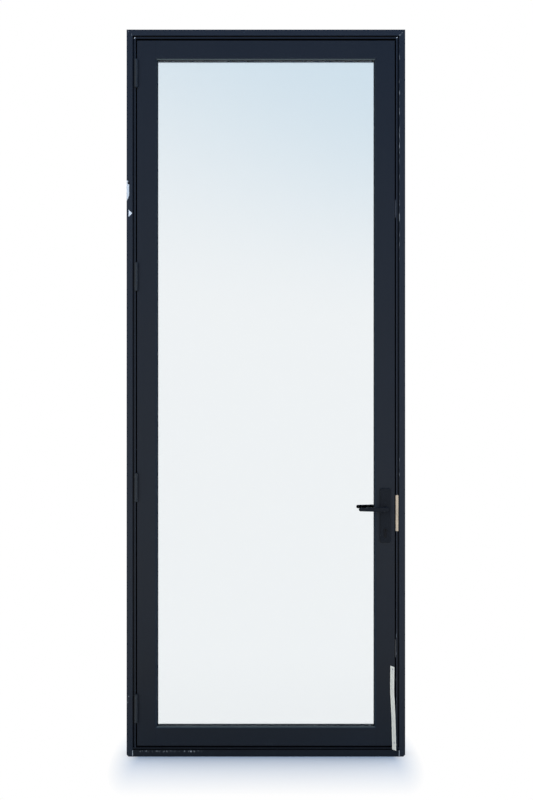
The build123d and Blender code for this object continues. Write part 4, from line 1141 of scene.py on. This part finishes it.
def seen_by_eye(tree):
    """1 for what the camera sees, directly, through glass or mirrored."""
    path = add(tree, "ShaderNodeLightPath").outputs
    most = path["Is Camera Ray"]
    for ray in ("Is Transmission Ray", "Is Glossy Ray"):
        most = add(tree, "ShaderNodeMath", {0: most, 1: path[ray]}, operation="MAXIMUM")
    return most


def light_world(context, settings):
    """Soft light from all round, and a white surround that pales to blue where glass shows it high up."""
    world = bpy.data.worlds.new("Surround")
    world.use_nodes = True
    context.scene.world = world
    tree = world.node_tree
    tree.nodes.clear()
    path = add(tree, "ShaderNodeLightPath").outputs
    direction = add(tree, "ShaderNodeTexCoord").outputs["Generated"]
    parts = add(tree, "ShaderNodeSeparateXYZ", {0: direction}).outputs
    # The blue comes down lower on the right, and starts at the horizon everywhere.
    values = {"Value": parts["X"], "From Min": -0.3, "From Max": 0.3, "To Min": 0.4, "To Max": 1.6}
    lean = add(tree, "ShaderNodeMapRange", values)
    height = add(tree, "ShaderNodeMath", {0: parts["Z"], 1: lean}, operation="MULTIPLY")
    values = {"Value": height, "From Min": 0.05, "From Max": 0.27}
    rise = add(tree, "ShaderNodeMapRange", values, interpolation_type="SMOOTHSTEP")
    white = (1.0, 1.0, 1.0)
    values = {0: rise, MIX_A: opaque(settings.reflected_white), MIX_B: opaque(settings.reflected_sky)}
    mirrored = add(tree, "ShaderNodeMix", values, data_type="RGBA").outputs[MIX_RESULT]
    values = {0: rise, MIX_A: opaque(white), MIX_B: opaque(settings.seen_sky)}
    through = add(tree, "ShaderNodeMix", values, data_type="RGBA").outputs[MIX_RESULT]
    values = {"Color": opaque(settings.ambient_colour), "Strength": settings.ambient_strength}
    whole = add(tree, "ShaderNodeBackground", values)
    for ray, colour in (
        ("Is Glossy Ray", mirrored),
        ("Is Transmission Ray", through),
        ("Is Camera Ray", opaque(white)),
    ):
        shown = add(tree, "ShaderNodeBackground", {"Color": colour})
        whole = add(tree, "ShaderNodeMixShader", {0: path[ray], 1: whole, 2: shown})
    add(tree, "ShaderNodeOutputWorld", {"Surface": whole})


def hang_lamp(context, name, place, target, width, height, power):
    """A large soft lamp at a place, pointed at a target."""
    data = bpy.data.lights.new(name, "AREA")
    data.shape = "RECTANGLE"
    data.size = width
    data.size_y = height
    data.energy = power
    lamp = bpy.data.objects.new(name, data)
    lamp.location = place
    away = [a - b for a, b in zip(place, target)]
    flat = math.hypot(away[0], away[1])
    lamp.rotation_euler = (math.atan2(flat, away[2]), 0.0, math.atan2(away[0], -away[1]))
    # Glass and metal mirror the plain surround alone, without the outline of a lamp.
    lamp.visible_glossy = False
    lamp.visible_transmission = False
    context.scene.collection.objects.link(lamp)


class DOOR_PT_panel(bpy.types.Panel):
    """The door's settings and operators"""

    bl_idname = "DOOR_PT_panel"
    bl_label = "Exterior door"
    bl_space_type = "VIEW_3D"
    bl_region_type = "UI"
    bl_category = "Exterior door"

    def draw(self, context):
        layout = self.layout
        for name, kind in SETTINGS:
            box = layout.box()
            group = getattr(context.scene, name)
            for field in kind.__annotations__:
                box.prop(group, field)
        for operator in STEPS:
            layout.operator(operator.bl_idname)


SETTINGS = (
    ("door_paint", PaintSettings),
    ("door_glass", GlassSettings),
    ("door_hardware", HardwareSettings),
    ("door_strip", StripSettings),
    ("door_stage", StageSettings),
)
STEPS = (
    DOOR_OT_paint_metalwork,
    DOOR_OT_finish_glazing,
    DOOR_OT_fit_gaskets,
    DOOR_OT_finish_hardware,
    DOOR_OT_fit_strike,
    DOOR_OT_finish_inner_parts,
    DOOR_OT_fit_screws,
    DOOR_OT_fit_edge_strip,
    DOOR_OT_build_stage,
)


def register():
    for name, kind in SETTINGS:
        bpy.utils.register_class(kind)
        setattr(bpy.types.Scene, name, PointerProperty(type=kind))
    for operator in STEPS:
        bpy.utils.register_class(operator)
    bpy.utils.register_class(DOOR_PT_panel)


def unregister():
    bpy.utils.unregister_class(DOOR_PT_panel)
    for operator in reversed(STEPS):
        bpy.utils.unregister_class(operator)
    for name, kind in reversed(SETTINGS):
        delattr(bpy.types.Scene, name)
        bpy.utils.unregister_class(kind)


def main():
    """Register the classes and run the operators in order."""
    register()
    bpy.ops.door.paint_metalwork()
    bpy.ops.door.finish_glazing()
    bpy.ops.door.fit_gaskets()
    bpy.ops.door.finish_hardware()
    bpy.ops.door.fit_strike()
    bpy.ops.door.finish_inner_parts()
    bpy.ops.door.fit_screws()
    bpy.ops.door.fit_edge_strip()
    bpy.ops.door.build_stage()


if __name__ == "__main__":
    main()
